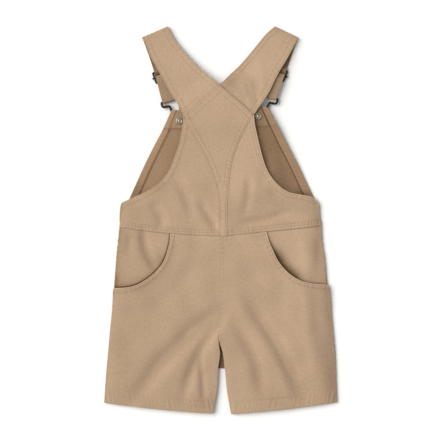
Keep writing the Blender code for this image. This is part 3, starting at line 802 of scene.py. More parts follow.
@dataclass(frozen=True)
class CanvasFinish(Finish):
    """Washed cotton canvas in a plain weave."""

    light: Row
    dark: Row
    deep: float = 0.5
    thread: float = 0.62
    weave_bump: float = 0.05

    @staticmethod
    def uneven(nodes: Nodes, grain: Socket, scale: Row) -> Socket:
        """Uneven thickness of the threads that run one way."""
        stretched = nodes.add("ShaderNodeMapping", sockets={"Vector": grain, "Scale": scale})
        return nodes.add(
            "ShaderNodeTexNoise", sockets={"Vector": stretched, "Scale": 1.0, "Detail": 2.0}
        )

    def make(self, nodes: Nodes) -> bpy.types.Material:
        """Weave the cloth and mottle it as washing does."""
        grain = nodes.add("ShaderNodeUVMap", {"uv_map": "grain"})
        u = nodes.add("ShaderNodeSeparateXYZ", sockets={0: grain}, out=0)
        v = nodes.add("ShaderNodeSeparateXYZ", sockets={0: grain}, out=1)
        turns = 2.0 * math.pi / (self.thread * MM)
        warp, weft = u * turns, v * turns
        slub = self.uneven(nodes, grain, (900.0, 60.0, 1.0))
        cross = self.uneven(nodes, grain, (60.0, 900.0, 1.0))
        wash = nodes.add(
            "ShaderNodeTexNoise", sockets={"Vector": grain, "Scale": 14.0, "Detail": 4.0}
        )
        mottle = nodes.add(
            "ShaderNodeTexNoise", sockets={"Vector": grain, "Scale": 260.0, "Detail": 3.0}
        )
        # Each piece's tone attribute carries its painted light and shade
        tone = nodes.add("ShaderNodeAttribute", {"attribute_name": "tone"}, out="Fac")
        weave = warp.sine() * weft.sine() * 0.5 + (slub + cross - 1.0) * 1.2
        share = weave * 0.07 + (wash - 0.5) * 0.3 + (mottle - 0.5) * 0.4 + tone
        spread = (share + self.deep) * (1.0 / (1.0 + self.deep))
        colour = nodes.mix(spread.clamp(), self.dark, self.light)
        bump = nodes.add(
            "ShaderNodeBump",
            sockets={"Strength": 0.6, "Distance": self.weave_bump * MM, "Height": weave},
        )
        nodes.shade(Base_Color=colour, Roughness=0.92, Normal=bump, Specular_IOR_Level=0.18)
        nodes.shade(Sheen_Weight=0.12, Sheen_Roughness=0.5)
        return nodes.material


@dataclass(frozen=True)
class ThreadFinish(Finish):
    """Twisted sewing thread."""

    colour: Row
    shadow: float = 0.72

    def make(self, nodes: Nodes) -> bpy.types.Material:
        """Vary the thread's colour by its fibres."""
        place = nodes.add("ShaderNodeTexCoord", out="Object")
        fibre = nodes.add("ShaderNodeTexNoise", sockets={"Vector": place, "Scale": 2600.0})
        dark = tuple(self.shadow * value for value in self.colour)
        nodes.shade(Base_Color=nodes.mix(fibre, dark, self.colour), Roughness=0.7)
        return nodes.material


@dataclass(frozen=True)
class MetalFinish(Finish):
    """Metal of a fastening, with a little wear."""

    colour: Row
    wear_and_painted_shading: Row
    roughness: float
    metallic: float
    reflection: float = 0.5

    def make(self, nodes: Nodes) -> bpy.types.Material:
        """Wear the metal in patches."""
        place = nodes.add("ShaderNodeTexCoord", out="Object")
        patch = nodes.add(
            "ShaderNodeTexNoise", sockets={"Vector": place, "Scale": 320.0, "Detail": 4.0}
        )
        wear = ((patch - 0.5) * 3.0 + 0.3).clamp()
        grain = nodes.add("ShaderNodeTexNoise", sockets={"Vector": place, "Scale": 2400.0})
        bump = nodes.add(
            "ShaderNodeBump", sockets={"Strength": 0.3, "Distance": 0.04 * MM, "Height": grain}
        )
        nodes.shade(
            Base_Color=nodes.mix(wear, self.colour, self.wear_and_painted_shading),
            Roughness=wear * 0.12 + self.roughness,
            Metallic=self.metallic,
            Specular_IOR_Level=self.reflection,
            Normal=bump,
        )
        return nodes.material


OUTSIDE = CanvasFinish("khaki_face", light=(0.585, 0.42, 0.287), dark=(0.10, 0.054, 0.02))
INSIDE = CanvasFinish("khaki_reverse", light=(0.42, 0.273, 0.165), dark=(0.065, 0.031, 0.010))
TONAL_THREAD = ThreadFinish("khaki_thread", (0.47, 0.335, 0.22))
BROWN_THREAD = ThreadFinish("brown_thread", (0.13, 0.055, 0.02))
IRON = MetalFinish("dark_wire", (0.008, 0.005, 0.003), (0.02, 0.013, 0.009), 0.45, 0.0, 0.25)
ZINC = MetalFinish("dull_zinc", (0.36, 0.33, 0.29), (0.18, 0.15, 0.12), 0.38, 0.8)


def keep(name: str, shape: bmesh.types.BMesh, finish: Finish) -> bpy.types.Object:
    """Turn a bmesh into a piece that rides on the garment.

    Args:
        name: the piece's name.
        shape: its mesh in metres, which is freed.
        finish: what it is made of.

    Returns:
        The piece.
    """
    mesh = bpy.data.meshes.new(name)
    shape.to_mesh(mesh)
    shape.free()
    mesh.shade_smooth()
    mesh.materials.append(finish.material())
    piece = bpy.data.objects.new(name, mesh)
    bpy.context.scene.collection.objects.link(piece)
    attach(piece, ROOT)
    return piece


def soften(piece: bpy.types.Object, width: float, segments: int = 2) -> None:
    """Round a piece's sharp edges with a small bevel."""
    bevel = piece.modifiers.new("soft_edge", "BEVEL")
    bevel.width = width * MM
    bevel.segments = segments
    bevel.limit_method = "ANGLE"
    bevel.angle_limit = math.radians(50)


def spaced(count: int, crowd: float = 0.35) -> Array:
    """Shares from 0 to 1 that crowd towards both ends."""
    even = np.linspace(0.0, 1.0, count + 1)
    return even - crowd * np.sin(2.0 * math.pi * even) / (2.0 * math.pi)


def grid(columns: int, rows: int) -> tuple[bmesh.types.BMesh, Array, Array]:
    """Make a grid of cells.

    Args:
        columns: cells across.
        rows: cells along.

    Returns:
        The bmesh and, for each vertex, its column and its row.
    """
    shape = bmesh.new()
    bmesh.ops.create_grid(shape, x_segments=columns, y_segments=rows, size=0.5)
    shape.verts.ensure_lookup_table()
    spots = np.array([vertex.co[:2] for vertex in shape.verts])
    across = np.rint((spots[:, 0] + 0.5) * columns).astype(int)
    along = np.rint((spots[:, 1] + 0.5) * rows).astype(int)
    return shape, across, along


def between(sections: Array, share: Array) -> tuple[Array, Array]:
    """Plan points at a share of the way across each section."""
    x = sections[:, 0] + (sections[:, 2] - sections[:, 0]) * share
    y = sections[:, 1] + (sections[:, 3] - sections[:, 1]) * share
    return x, y


def place(shape: bmesh.types.BMesh, x: Array, y: Array, z: Array) -> None:
    """Move each vertex to its point in millimetres."""
    for vertex, spot in zip(shape.verts, np.stack([x, y, z], axis=1) * MM):
        vertex.co = spot


def lay_grain(mesh: bpy.types.Mesh, angle: float, tone: Height) -> None:
    """Give a mesh its grain as a UV map, and its tone as an attribute.

    Args:
        mesh: the mesh, in metres.
        angle: turn of the warp from +Y, in degrees.
        tone: lightness of its vertices, about 0 to 1, by their plan points in millimetres.
    """
    spots = np.empty(len(mesh.vertices) * 3)
    mesh.vertices.foreach_get("co", spots)
    spots = spots.reshape(-1, 3)
    turn = math.radians(angle)
    u = spots[:, 0] * math.cos(turn) + spots[:, 1] * math.sin(turn)
    v = -spots[:, 0] * math.sin(turn) + spots[:, 1] * math.cos(turn)
    corner = np.empty(len(mesh.loops), dtype=int)
    mesh.loops.foreach_get("vertex_index", corner)
    layer = mesh.uv_layers.new(name="grain")
    layer.data.foreach_set("uv", np.stack([u[corner], v[corner]], axis=1).ravel())
    shade = mesh.attributes.new("tone", "FLOAT", "POINT")
    lightness = tone(spots[:, 0] / MM, spots[:, 1] / MM)
    shade.data.foreach_set("value", lightness.astype(np.float32))


@dataclass
class Panel:
    """A flat cut piece of canvas: sections across it, seams on it, and what it lies on."""

    name: str
    rows: Table
    under: Height
    finish: CanvasFinish
    slot: str
    node: str
    seams: list[Seam] = field(default_factory=list)
    wall: float = CANVAS
    columns: int = 80
    steps: int = 8
    bow: float = 0.0
    grain: float = 0.0
    ripple: float = 0.0
    ripple_wave: float = 7.5
    shade: Height | None = None
    rests_on: tuple[str, ...] = ()

    def top(self, x: Array, y: Array) -> Array:
        """Height of the upper face."""
        return self.under(x, y) + self.wall + sewn(self.seams, x, y)[0]

    def tone(self, x: Array, y: Array) -> Array:
        """Lightness of the cloth, with painted light and shade from its seams and its shade
        function.
        """
        extra = self.shade(x, y) if self.shade else 0.0
        return PLAIN_TONE + TONE_DEPTH * sewn(self.seams, x, y)[1] + extra

    def outline(self) -> tuple[float, float, float]:
        """Width, length and area of the cut, in metres."""
        table = flow(self.rows, self.steps)
        ring = np.vstack([table[:, :2], table[::-1, 2:]])
        ahead = np.roll(ring, -1, axis=0)
        area = abs((ring[:, 0] * ahead[:, 1] - ring[:, 1] * ahead[:, 0]).sum()) / 2
        boxes = []
        for turn in np.radians(np.arange(0, 90, 3)):
            across = ring @ np.array([math.cos(turn), math.sin(turn)])
            along = ring @ np.array([-math.sin(turn), math.cos(turn)])
            boxes.append((np.ptp(across), np.ptp(along)))
        width, length = min(boxes, key=lambda box: box[0] * box[1])
        return width * MM, length * MM, area * MM * MM

    def build(self) -> bpy.types.Object:
        """Returns:
            The finished piece.
        """
        table = flow(self.rows, self.steps)
        shape, across, along = grid(self.columns, len(table) - 1)
        share = spaced(self.columns)[across]
        x, y = between(table[along], share)
        y = y - self.bow * (along / (len(table) - 1)) ** 4 * np.sin(math.pi * share)
        x = x + self.ripple * rope(table[along, 1] / self.ripple_wave, 0.4) * (1.0 - share) ** 12
        place(shape, x, y, self.under(x, y))
        raised = bmesh.ops.extrude_face_region(shape, geom=shape.faces[:])["geom"]
        lifted = [item for item in raised if isinstance(item, bmesh.types.BMVert)]
        spots = np.array([vertex.co[:] for vertex in lifted]) / MM
        tops = self.top(spots[:, 0], spots[:, 1])
        for vertex, height in zip(lifted, tops):
            vertex.co.z = height * MM
        bmesh.ops.recalc_face_normals(shape, faces=shape.faces[:])
        piece = keep(self.name, shape, self.finish)
        lay_grain(piece.data, self.grain, self.tone)
        soften(piece, CLOTH_EDGE)
        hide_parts(self.node)
        width, length, area = self.outline()
        log.info("%s: %.0f x %.0f mm", self.name, width / MM, length / MM)
        return piece


@dataclass
class Sewing:
    """Rows of stitches, gathered and made as one mesh for each part of the garment."""

    pitch: float = 3.1
    length: float = 2.35
    width: float = 0.62
    height: float = 0.42
    proud: float = 0.08

    def template(self) -> tuple[Array, list[tuple[int, ...]]]:
        """One stitch along x, as points and faces."""
        shape = bmesh.new()
        bmesh.ops.create_uvsphere(shape, u_segments=6, v_segments=4, radius=0.5)
        turn = Matrix.Rotation(math.radians(90), 4, "Y")
        bmesh.ops.transform(shape, matrix=turn, verts=shape.verts)
        bmesh.ops.scale(shape, vec=(self.length, self.width, self.height), verts=shape.verts)
        points = np.array([vertex.co[:] for vertex in shape.verts])
        faces = [tuple(vertex.index for vertex in face.verts) for face in shape.faces]
        shape.free()
        return points, faces

    def sew(
        self, name: str, runs: list[tuple[Line, Height]], finish: ThreadFinish
    ) -> bpy.types.Object:
        """Set stitches along lines on a surface.

        Args:
            name: the piece's name.
            runs: lines with the height of the cloth under each.
            finish: the thread.

        Returns:
            The joined stitches.
        """
        points, faces = self.template()
        places, frames = [], []
        for line, surface in runs:
            spots, heading = line.walk(self.pitch, 1.0)
            half = self.length / 2
            ahead, behind = spots + heading * half, spots - heading * half
            rise = surface(ahead[:, 0], ahead[:, 1]) - surface(behind[:, 0], behind[:, 1])
            run = np.column_stack([heading * self.length, rise])
            run /= np.linalg.norm(run, axis=1)[:, None]
            side = np.column_stack([-heading[:, 1], heading[:, 0], np.zeros(len(run))])
            level = (surface(ahead[:, 0], ahead[:, 1]) + surface(behind[:, 0], behind[:, 1])) / 2
            places.append(np.column_stack([spots, level + self.proud]))
            frames.append(np.stack([run, side, np.cross(run, side)], axis=1))
        middles, turns = np.vstack(places), np.vstack(frames)
        spots = (np.einsum("pk,nkj->npj", points, turns) + middles[:, None, :]).reshape(-1, 3)
        every = [
            tuple(index + stitch * len(points) for index in face)
            for stitch in range(len(middles))
            for face in faces
        ]
        mesh = bpy.data.meshes.new(name)
        mesh.from_pydata((spots * MM).tolist(), [], every)
        shape = bmesh.new()
        shape.from_mesh(mesh)
        bpy.data.meshes.remove(mesh)
        piece = keep(name, shape, finish)
        log.info("%s: %d stitches", name, len(middles))
        return piece

    def topstitch(self, name: str, seams: list[Seam], surface: Height) -> None:
        """Sew every row of some seams in the colour of the canvas."""
        runs = [(line, surface) for seam in seams for line in seam.stitch_lines()]
        self.sew(name, runs, TONAL_THREAD)


@dataclass
class Shorts:
    """Legs of the shorts: fronts, hip facings and the scooped backs."""

    lie: Lie
    sewing: Sewing
    waist_lap: float = 8.0
    centre_lap: float = 6.0
    lap_rise: float = 0.15
    hem_depth: float = 18.0
    seam_lap: float = 5.5
    edge_shift: float = 1.2
    # Painted shade on the fronts where they show deep in the crotch's gap, and a lighter rim on the
    # pockets' edges, partly wear and partly painted highlight
    crotch_shade: float = -0.55
    edge_tone: float = 0.42

    def __post_init__(self) -> None:
        """Draw the centre seam."""
        self.centre = Line.through([row[2:] for row in LEG[Side.RIGHT][: CROTCH_ROW + 1]])

    def fronts(self) -> None:
        """Lay the front of each leg on the surface."""
        for side in Side:
            hem = Line(np.array([FRONT[side][-1][:2], FRONT[side][-1][2:]]))
            Panel(
                name=f"shorts_front_{side.word}", rows=FRONT[side], under=self.lie.floor,
                finish=INSIDE, slot="canvas", node=f"front_leg_{side.word}",
                seams=[Seam(hem, True, (self.hem_depth,), self.hem_depth, rise=0.0, pucker=0.05)],
                columns=60, steps=6, shade=lambda x, y: self.crotch_shade * bell(x, 30.0),
            ).build()

    def facings(self) -> None:
        """Lay the hip facings behind the pocket openings."""
        for side in Side:
            first = HIP[side][0]
            top = (first[0], first[1] + self.waist_lap, first[2], first[3] + self.waist_lap)
            Panel(
                name=f"hip_facing_piece_{side.word}", rows=(top, *HIP[side][1:]),
                under=self.lie.facing, finish=OUTSIDE, slot="canvas",
                node=f"hip_facing_{side.word}", columns=60, steps=12, shade=self.painted_light_and_shade,
                ripple=0.5, rests_on=(f"front_leg_{side.word}",),
            ).build()

    def painted_light_and_shade(self, x: Array, y: Array) -> Array:
        """Tone of a facing: painted shadow along each pocket's edge and a wide painted pocket
        shadow on the right, painted shade along the left side seam, painted light and shade along
        the folds, the right facing a little lighter, and the back's painted spots.
        """
        gap = self.lie.scoop_gap(x, y)
        low = ramp(-y, 36.0, 30.0)
        # Painted shadow in the gap beside each pocket's edge, wider low down on the left, and a
        # broad painted shadow in the right pocket's mouth
        left = -1.2 * bell(gap, 1.9) - (0.1 + 0.28 * low) * decay(gap, 7.0)
        pocket = ramp(-y, 33.0, 22.0) * ramp(-x, -130.0, 22.0)
        right = -0.35 * bell(gap, 2.6) - 0.3 * decay(gap, 8.0)
        right -= 0.8 * pocket * bell(gap - 2.5, 9.0)
        # Painted light and shade along the folds, and painted shade along the left side seam
        folds = 0.06 * fold_height(FOLDS, x, y)
        edge = -0.34 * decay(x - column(SIDES, y, 1), 8.0) * (1.0 + ramp(-y, 70.0, 20.0))
        return folds + np.where(x < 0.0, left + edge, right + 0.07) + self.lie.wear_and_painted_shading(x, y)

    def rim_and_painted_shading(self, x: Array, y: Array) -> Array:
        """Tone of a back: a lighter rim on the edges of its pockets, partly wear and partly painted
        highlight, and the back's painted shade and light.
        """
        return self.edge_tone * bell(self.lie.scoop_gap(x, y), 1.1) + self.lie.wear_and_painted_shading(x, y)

    def leg_rows(self, side: Side) -> Table:
        """Rows of a back leg, with its laps under the waist and the centre seam."""
        rows = []
        for index, (outer_x, outer_y, inner_x, inner_y) in enumerate(LEG[side]):
            if index == 0:
                outer_y, inner_y = outer_y + self.waist_lap, inner_y + self.waist_lap
            if side is Side.LEFT and index < CROTCH_ROW:
                inner_x += self.centre_lap * min(1.0, (CROTCH_ROW - index) / 2)
            rows.append((outer_x, outer_y, inner_x, inner_y))
        return tuple(rows)

    def back_seams(self, side: Side) -> list[Seam]:
        """Pocket opening and hem of a back leg, and the centre seam on the one that laps over."""
        left, foot = side is Side.LEFT, LEG[side][-1]
        opening = Seam(
            self.lie.scoops[side], left, rows=(1.7, 6.2), band=6.6, rise=0.25, pucker=0.16,
            seed=0.3, groove=0.32, lean=0.1,
        )
        hem = Seam(
            bowed(foot[:2], foot[2:], HEM_BOW), left, rows=(self.hem_depth,),
            band=self.hem_depth, rise=0.25, pucker=0.22, wave=6.5, seed=1.1, lean=0.35,
        )
        centre = Seam(
            self.centre, True, rows=(1.8, 5.2), band=self.seam_lap, rise=0.0, pucker=0.08,
            wave=6.5, seed=0.7, groove=0.12,
        )
        return [opening, hem] if left else [opening, hem, centre]

    def lapped(self, x: Array, y: Array) -> Array:
        """Underside of the right leg, which laps over the left at the centre."""
        gap = self.centre.measure(x, y)[0]
        lap = self.lap_rise * (1.0 - ramp(gap, self.seam_lap, 6.0))
        return self.lie.leg(x, y) + lap - self.lie.tucked(x, y)

    def pressed(self, x: Array, y: Array) -> Array:
        """Underside of the left leg, pressed down at the centre by the right one."""
        edge = np.interp(y, self.centre.points[::-1, 1], self.centre.points[::-1, 0])
        beyond = ramp(x, edge, self.edge_shift)
        lap = (LAP_RISE - self.lap_rise) * beyond * (y > CROTCH_FOOT)
        return self.lie.leg(x, y) - lap - self.lie.tucked(x, y)

    def backs(self) -> None:
        """Lay the back of each leg, with pocket openings, centre seam and hem."""
        for side in Side:
            seams = self.back_seams(side)
            panel = Panel(
                name=f"shorts_back_{side.word}", rows=self.leg_rows(side),
                under=self.pressed if side is Side.LEFT else self.lapped, shade=self.rim_and_painted_shading,
                finish=OUTSIDE, slot="canvas", node=f"back_leg_{side.word}", seams=seams,
                columns=110, steps=12, bow=HEM_BOW, rests_on=(f"front_leg_{side.word}",),
            )
            panel.build()
            self.sewing.topstitch(f"shorts_stitches_{side.word}", seams, panel.top)


@dataclass
class Bib:
    """Front bib, seen from its inner side, with turned hems and a top facing."""

    lie: Lie
    turned_gap: float = 0.05
    stitch_inset: float = 1.3

    def __post_init__(self) -> None:
        """Take the outer and inner edge of each side hem from the bib's rows."""
        self.outer, self.inner = {}, {}
        for side in Side:
            outer = [row[:2] if side is Side.LEFT else row[2:] for row in BIB[FIRST_HEM_ROW:]]
            widths = [width + WIDER_HEM[side] for width in BIB_HEM]
            self.outer[side] = outer
            self.inner[side] = [(x - side.value * width, y) for (x, y), width in zip(outer, widths)]
        self.lower = Line(np.array([BIB[-2][:2], BIB[-2][2:]]))

    def painted_light_and_shade(self, x: Array, y: Array) -> Array:
        """Tone of the bib: painted light just beside the right armhole's edge against its contact
        shadow, painted shade farther from that edge and over the right half, faint painted shade
        beside the left armhole, and painted spots of shade and light.
        """
        left, right = (
            Line.through(ARMHOLE[side][:ARMHOLE_ROWS]).measure(x, y)[0] for side in Side
        )
        # Painted light and shade beside the armholes, and painted shade over the right half, which
        # lies in the back's shadow
        rim = 0.4 * bell(right, 3.0) - 0.02 * decay(left, 9.0)
        armhole_shade = -0.13 * bell(right, 12.0) - 0.2 * (x > 0.0)
        return rim + armhole_shade + paint_shading_spots(BIB_PAINTED_SHADING, x, y)

    def hem_shade(self, line: Line) -> Height:
        """Tone of a side hem: painted shade along its stitched edge, over the right hem and towards
        the foot of the left one, which is lighter at its top.

        Args:
            line: the hem's sewn edge.

        Returns:
            The tone by plan point.
        """

        def tone(x: Array, y: Array) -> Array:
            """Tone at plan points."""
            # Painted shade over the right hem and towards the foot of the left, and along the
            # stitched edge
            face = np.where(x > 0.0, 0.06, 0.2 - 0.34 * ramp(-y, -72.0, 40.0))
            edge_shade = np.where(x > 0.0, 0.6, 0.2) * bell(line.measure(x, y)[0] - 0.7, 1.1)
            return face - edge_shade + paint_shading_spots(BIB_PAINTED_SHADING, x, y)

        return tone

    def on_bib(self, x: Array, y: Array) -> Array:
        """Underside of what is turned onto the bib."""
        return self.lie.bib(x, y) + CANVAS + self.turned_gap

    def side_hem(self, side: Side) -> list[tuple[Line, Height]]:
        """Lay a side hem.

        Args:
            side: the side on which it lies.

        Returns:
            Its rows of stitches, each with the height of the cloth under it.
        """
        left = side is Side.LEFT
        outer, inner = self.outer[side], self.inner[side]
        line = Line.through(inner)
        edge = Seam(
            line, left, rows=(1.2,), band=12.0, rise=0.0, pucker=0.32, wave=5.5, seed=0.4,
            groove=0.2 if left else 0.5, lean=0.6,
        )
        top = Seam(self.lower, True, rows=(self.stitch_inset,), band=2.4, rise=0.25, pucker=0.0)
        hem = Panel(
            name=f"bib_side_hem_{side.word}",
            rows=tuple((*a, *b) for a, b in zip(outer, inner)), under=self.on_bib,
            finish=INSIDE, slot="canvas_inside", node=f"bib_hem_{side.word}",
            seams=[edge, top], wall=TURNED_HEM, columns=20, steps=14,
            rests_on=("front_bib",), shade=self.hem_shade(line),
        )
        hem.build()
        across = Line(np.array(sorted([outer[-2], inner[-2]]))).beside(self.stitch_inset)
        return [*((stitch, hem.top) for stitch in edge.stitch_lines()), (across, hem.top)]

    def top_facing(self) -> list[tuple[Line, Height]]:
        """Lay the facing between the side hems.

        Returns:
            Its rows of stitches, each with the height of the cloth under it.
        """
        ends = zip(self.inner[Side.LEFT][-2:], self.inner[Side.RIGHT][-2:])
        seam = Seam(
            self.lower, True, rows=(self.stitch_inset,), band=8.0, rise=0.0, pucker=0.12,
            wave=8.0, seed=0.9,
        )
        facing = Panel(
            name="bib_top_facing",
            rows=tuple((a[0] + SEAM_GAP, a[1], b[0] - SEAM_GAP, b[1]) for a, b in ends),
            under=self.on_bib, finish=INSIDE, slot="canvas_inside", node="bib_facing",
            wall=TURNED_HEM, columns=70, steps=16, seams=[seam], rests_on=("front_bib",),
            # Painted shade over the right half of the facing
            shade=lambda x, y: 0.08 - 0.22 * (x > 0.0),
        )
        facing.build()
        return [(stitch, facing.top) for stitch in seam.stitch_lines()]

    def build(self) -> None:
        """Lay the bib, its hems, its facing and their stitches."""
        Panel(
            name="bib_piece", rows=BIB, under=self.lie.bib, finish=INSIDE,
            slot="canvas_inside", node="front_bib", columns=110, steps=10, shade=self.painted_light_and_shade,
        ).build()
        runs = [run for side in Side for run in self.side_hem(side)] + self.top_facing()
        bold = Sewing(pitch=2.7, length=2.3, width=0.8, height=0.45)
        bold.sew("bib_stitches", runs, BROWN_THREAD)


@dataclass
class Bodice:
    """Sides of the back bodice, between the armholes and the centre piece."""

    lie: Lie
    sewing: Sewing
    lap: float = 4.0
    edge_shift: float = 1.2

    def __post_init__(self) -> None:
        """Draw the armholes and the seams at the centre."""
        self.armholes = {side: Line.through(ARMHOLE[side][:ARMHOLE_ROWS]) for side in Side}
        self.centres = {side: Line.through(CENTRE_SEAM[side]) for side in Side}

    def build(self) -> None:
        """Lay both sides and sew their armholes and the waist."""
        for side in Side:
            left = side is Side.LEFT
            armhole = self.armholes[side]
            waist = bowed(ARMHOLE[side][-1], CENTRE_SEAM[side][-1], WAIST_BOW[side])

            def pressed(x: Array, y: Array, side: Side = side) -> Array:
                """Underside of a side, pressed down where the centre piece laps over it."""
                edge = np.array(CENTRE_SEAM[side][::-1])
                outside = side.value * (x - np.interp(y, edge[:, 1], edge[:, 0]))
                press = LAP_RISE - CENTRE_LAP_RISE
                inside = 1.0 - ramp(outside, -self.edge_shift, self.edge_shift)
                return self.lie.bodice(x, y) - press * inside

            seams = [
                Seam(
                    armhole, left, rows=(1.7, 7.2), band=7.8, rise=0.25, pucker=0.13, wave=5.5,
                    seed=0.2,
                ),
                Seam(
                    waist, left, rows=(4.6, 8.4), band=9.0, rise=0.0, pucker=0.32, wave=5.0,
                    seed=1.7, lean=0.05,
                ),
            ]
            inner = [(x - side.value * self.lap, y) for x, y in CENTRE_SEAM[side]]
            panel = Panel(
                name=f"bodice_side_{side.word}",
                rows=tuple((*a, *b) for a, b in zip(ARMHOLE[side], inner)),
                under=pressed, finish=OUTSIDE, slot="canvas",
                node=f"back_side_{side.word}", seams=seams, columns=96, steps=12,
                bow=WAIST_BOW[side], grain=4.0 * side.value, shade=self.rim_and_painted_shading,
                rests_on=("front_bib",),
            )
            panel.build()
            self.sewing.topstitch(f"bodice_stitches_{side.word}", seams, panel.top)

    def rim_and_painted_shading(self, x: Array, y: Array) -> Array:
        """Tone of a side: lightest on its armhole's edge, a rim that is partly wear and partly
        painted highlight, with painted shade at its centre seam and under the waist's edge, lighter
        upper parts, and the back's painted spots.
        """
        armhole, centre = (
            np.minimum(*[lines[side].measure(x, y)[0] for side in Side])
            for lines in (self.armholes, self.centres)
        )
        rim = np.where(x > 0.0, 0.42, 0.2) * bell(armhole, 1.1)
        wear_and_painted_shading = np.where(x > 0.0, 0.16, 0.07) * ramp(y, 30.0, 40.0) + self.lie.wear_and_painted_shading(x, y)
        # Painted shade under the waist's edge, weaker over the hip facings
        foot = bell(self.lie.waist.measure(x, y)[0], 1.1)
        foot = np.where(np.abs(x) > 74.0, 0.16, 0.35) * foot
        return rim - 0.16 * bell(centre, 1.3) + wear_and_painted_shading - foot


@dataclass
class Strap:
    """One strap, from its hook loop and slider over the shoulder to the back."""

    side: Side
    lie: Lie
    sewing: Sewing
    shoulder_z: float = 3.1
    hook_wire: float = 1.25
    hook_z: float = 3.95
    slider_wire: float = 1.0
    slider_z: float = 2.7
    slider_half_length: float = 8.0
    past_slider: Row = (14.0, 20.0)
    short_of_hook: Row = (8.0, 6.0)
    return_z: float = 1.4
    edge_rows: Row = (1.8, 8.0)
    lap_width: float = 5.0
    grain: float = 30.0

    def __post_init__(self) -> None:
        """Work out the fold, the front run's length and the edges."""
        rows = STRAP[self.side]
        outer, inner = np.array(rows[0][:2]), np.array(rows[0][2:])
        crease = (inner - outer) / np.linalg.norm(inner - outer)
        self.outward = np.array([-crease[1], crease[0]])
        if self.outward[1] < 0:
            self.outward = -self.outward
        self.low = STRAP_CLOTH / 2
        self.turn = (self.shoulder_z - self.low) / 2
        setback = self.outward * (self.turn + STRAP_CLOTH / 2)
        self.outer, self.inner = outer - setback, inner - setback
        end = np.array(FRONT_END[self.side])
        self.end_outer, self.end_inner = end[:2], end[2:]
        middle = (self.end_outer + self.end_inner) / 2 - (self.outer + self.inner) / 2
        self.length = float(np.linalg.norm(middle))
        self.seams = self.make_seams()

    def make_seams(self) -> list[Seam]:
        """Topstitched edges, centre seams and the edge of the strap beneath."""
        rows, left = STRAP[self.side], self.side is Side.LEFT
        outer = Line.through(rows)
        inner = Line.through([row[2:] for row in rows])
        self.lit_edge = outer if left else inner
        seams = [
            Seam(outer, left, self.edge_rows, band=8.6, rise=0.15, pucker=0.1, seed=0.5),
            Seam(inner, not left, self.edge_rows, band=8.6, rise=0.12, pucker=0.07, seed=1.3),
        ]
        if left:
            for side in Side:
                full = Line.through(CENTRE_SEAM[side])
                wide = Line.through(CENTRE_SEAM[side][:WIDE_SEAM_ROWS])
                for line, row, band, rise, pucker in (
                    (full, 1.8, 4.0, 0.0, 0.07), (wide, 7.2, 7.6, 0.05, 0.10),
                ):
                    seams.append(
                        Seam(line, side is Side.LEFT, (row,), band, rise, pucker, 5.0, seed=0.8)
                    )
            hidden = Line(np.linspace(HIDDEN_EDGE[0], HIDDEN_EDGE[1], 30))
            seams.append(
                Seam(hidden, True, rows=(1.6, 8.6), band=9.0, rise=0.1, pucker=0.08, seed=2.2)
            )
        return seams

    def front_run(self) -> list[Row]:
        """Centre line of the front run, loose end first: along and height."""
        step = self.slider_wire + SEAM_GAP + STRAP_CLOTH / 2
        loop = self.hook_wire + SEAM_GAP + STRAP_CLOTH / 2
        slider, bar = SLIDER_ALONG[self.side], self.length - loop - STRAP_CLOTH / 2
        high = self.slider_z + step
        over = high + STRAP_CLOTH + SEAM_GAP
        rows = arc(slider, self.slider_z, step, range(140, 89, -10))
        for share in np.linspace(0.1, 1.0, 8):
            lift = high + (over - high) * float(ease(np.array(share)))
            rows.append((slider + self.slider_half_length * share, lift))
        after, before = self.past_slider, self.short_of_hook
        rows += [(slider + after[0], over), (bar - before[0], self.hook_z + loop)]
        rows += arc(bar, self.hook_z, loop, range(90, -91, -10))
        rows += [(bar - before[1], self.return_z), (slider + after[1], self.low)]
        for share in np.linspace(2.0, -2.0, 49):
            wave = (1.0 - math.cos(math.pi * share)) / 2
            along = slider + self.slider_half_length * share
            rows.append((along, self.low + (high - self.low) * wave))
        for share in np.linspace(0.95, 0.03, 20):
            rows.append(((slider - 2 * self.slider_half_length) * share, self.low))
        return rows

    def stations(self) -> tuple[Array, Array]:
        """Sections of the strap.

        Returns:
            Rows of outer x, outer y, inner x, inner y and height, and which lie on the back.
        """
        rows = []
        for along, z in self.front_run():
            share = along / self.length
            bulge = math.sin(math.pi * min(1.0, max(0.0, share) * 1.15)) ** 0.7
            aside = FRONT_TUCK[self.side] * bulge
            inward = (self.inner - self.outer) * aside / np.linalg.norm(self.inner - self.outer)
            start = self.outer + (self.end_outer - self.outer) * share + inward
            end = self.inner + (self.end_inner - self.inner) * share + inward
            rows.append((*start, *end, z))
        for degrees in range(0, 181, 12):
            turn = math.radians(degrees)
            reach = self.outward * (self.turn * math.sin(turn))
            z = (self.shoulder_z + self.low) / 2 - self.turn * math.cos(turn)
            rows.append((*(self.outer + reach), *(self.inner + reach), z))
        front = len(rows)
        back = flow(STRAP[self.side], 9)[1:]
        if self.side is Side.LEFT:
            seams = [(*a, *b) for a, b in zip(CENTRE_SEAM[Side.LEFT], CENTRE_SEAM[Side.RIGHT])]
            back = np.vstack([back, flow(seams, 12)[1:]])
        rows += [(*row, 0.0) for row in back]
        return np.array(rows), np.arange(len(rows)) >= front

    def under(self, x: Array, y: Array) -> Array:
        """Underside of the strap's back run."""
        if self.side is Side.RIGHT:
            return self.lie.base(x, y) + fold_height(STRAP_CREASES, x, y)
        laps = [Line.through(CENTRE_SEAM[side]).measure(x, y)[0] for side in Side]
        lap = 1.0 - ramp(np.minimum(*laps), self.lap_width, 7.0)
        return self.lie.bodice(x, y) + CENTRE_LAP_RISE * lap

    def top(self, x: Array, y: Array) -> Array:
        """Height of the upper face of the back run."""
        return self.under(x, y) + STRAP_CLOTH + sewn(self.seams, x, y)[0]

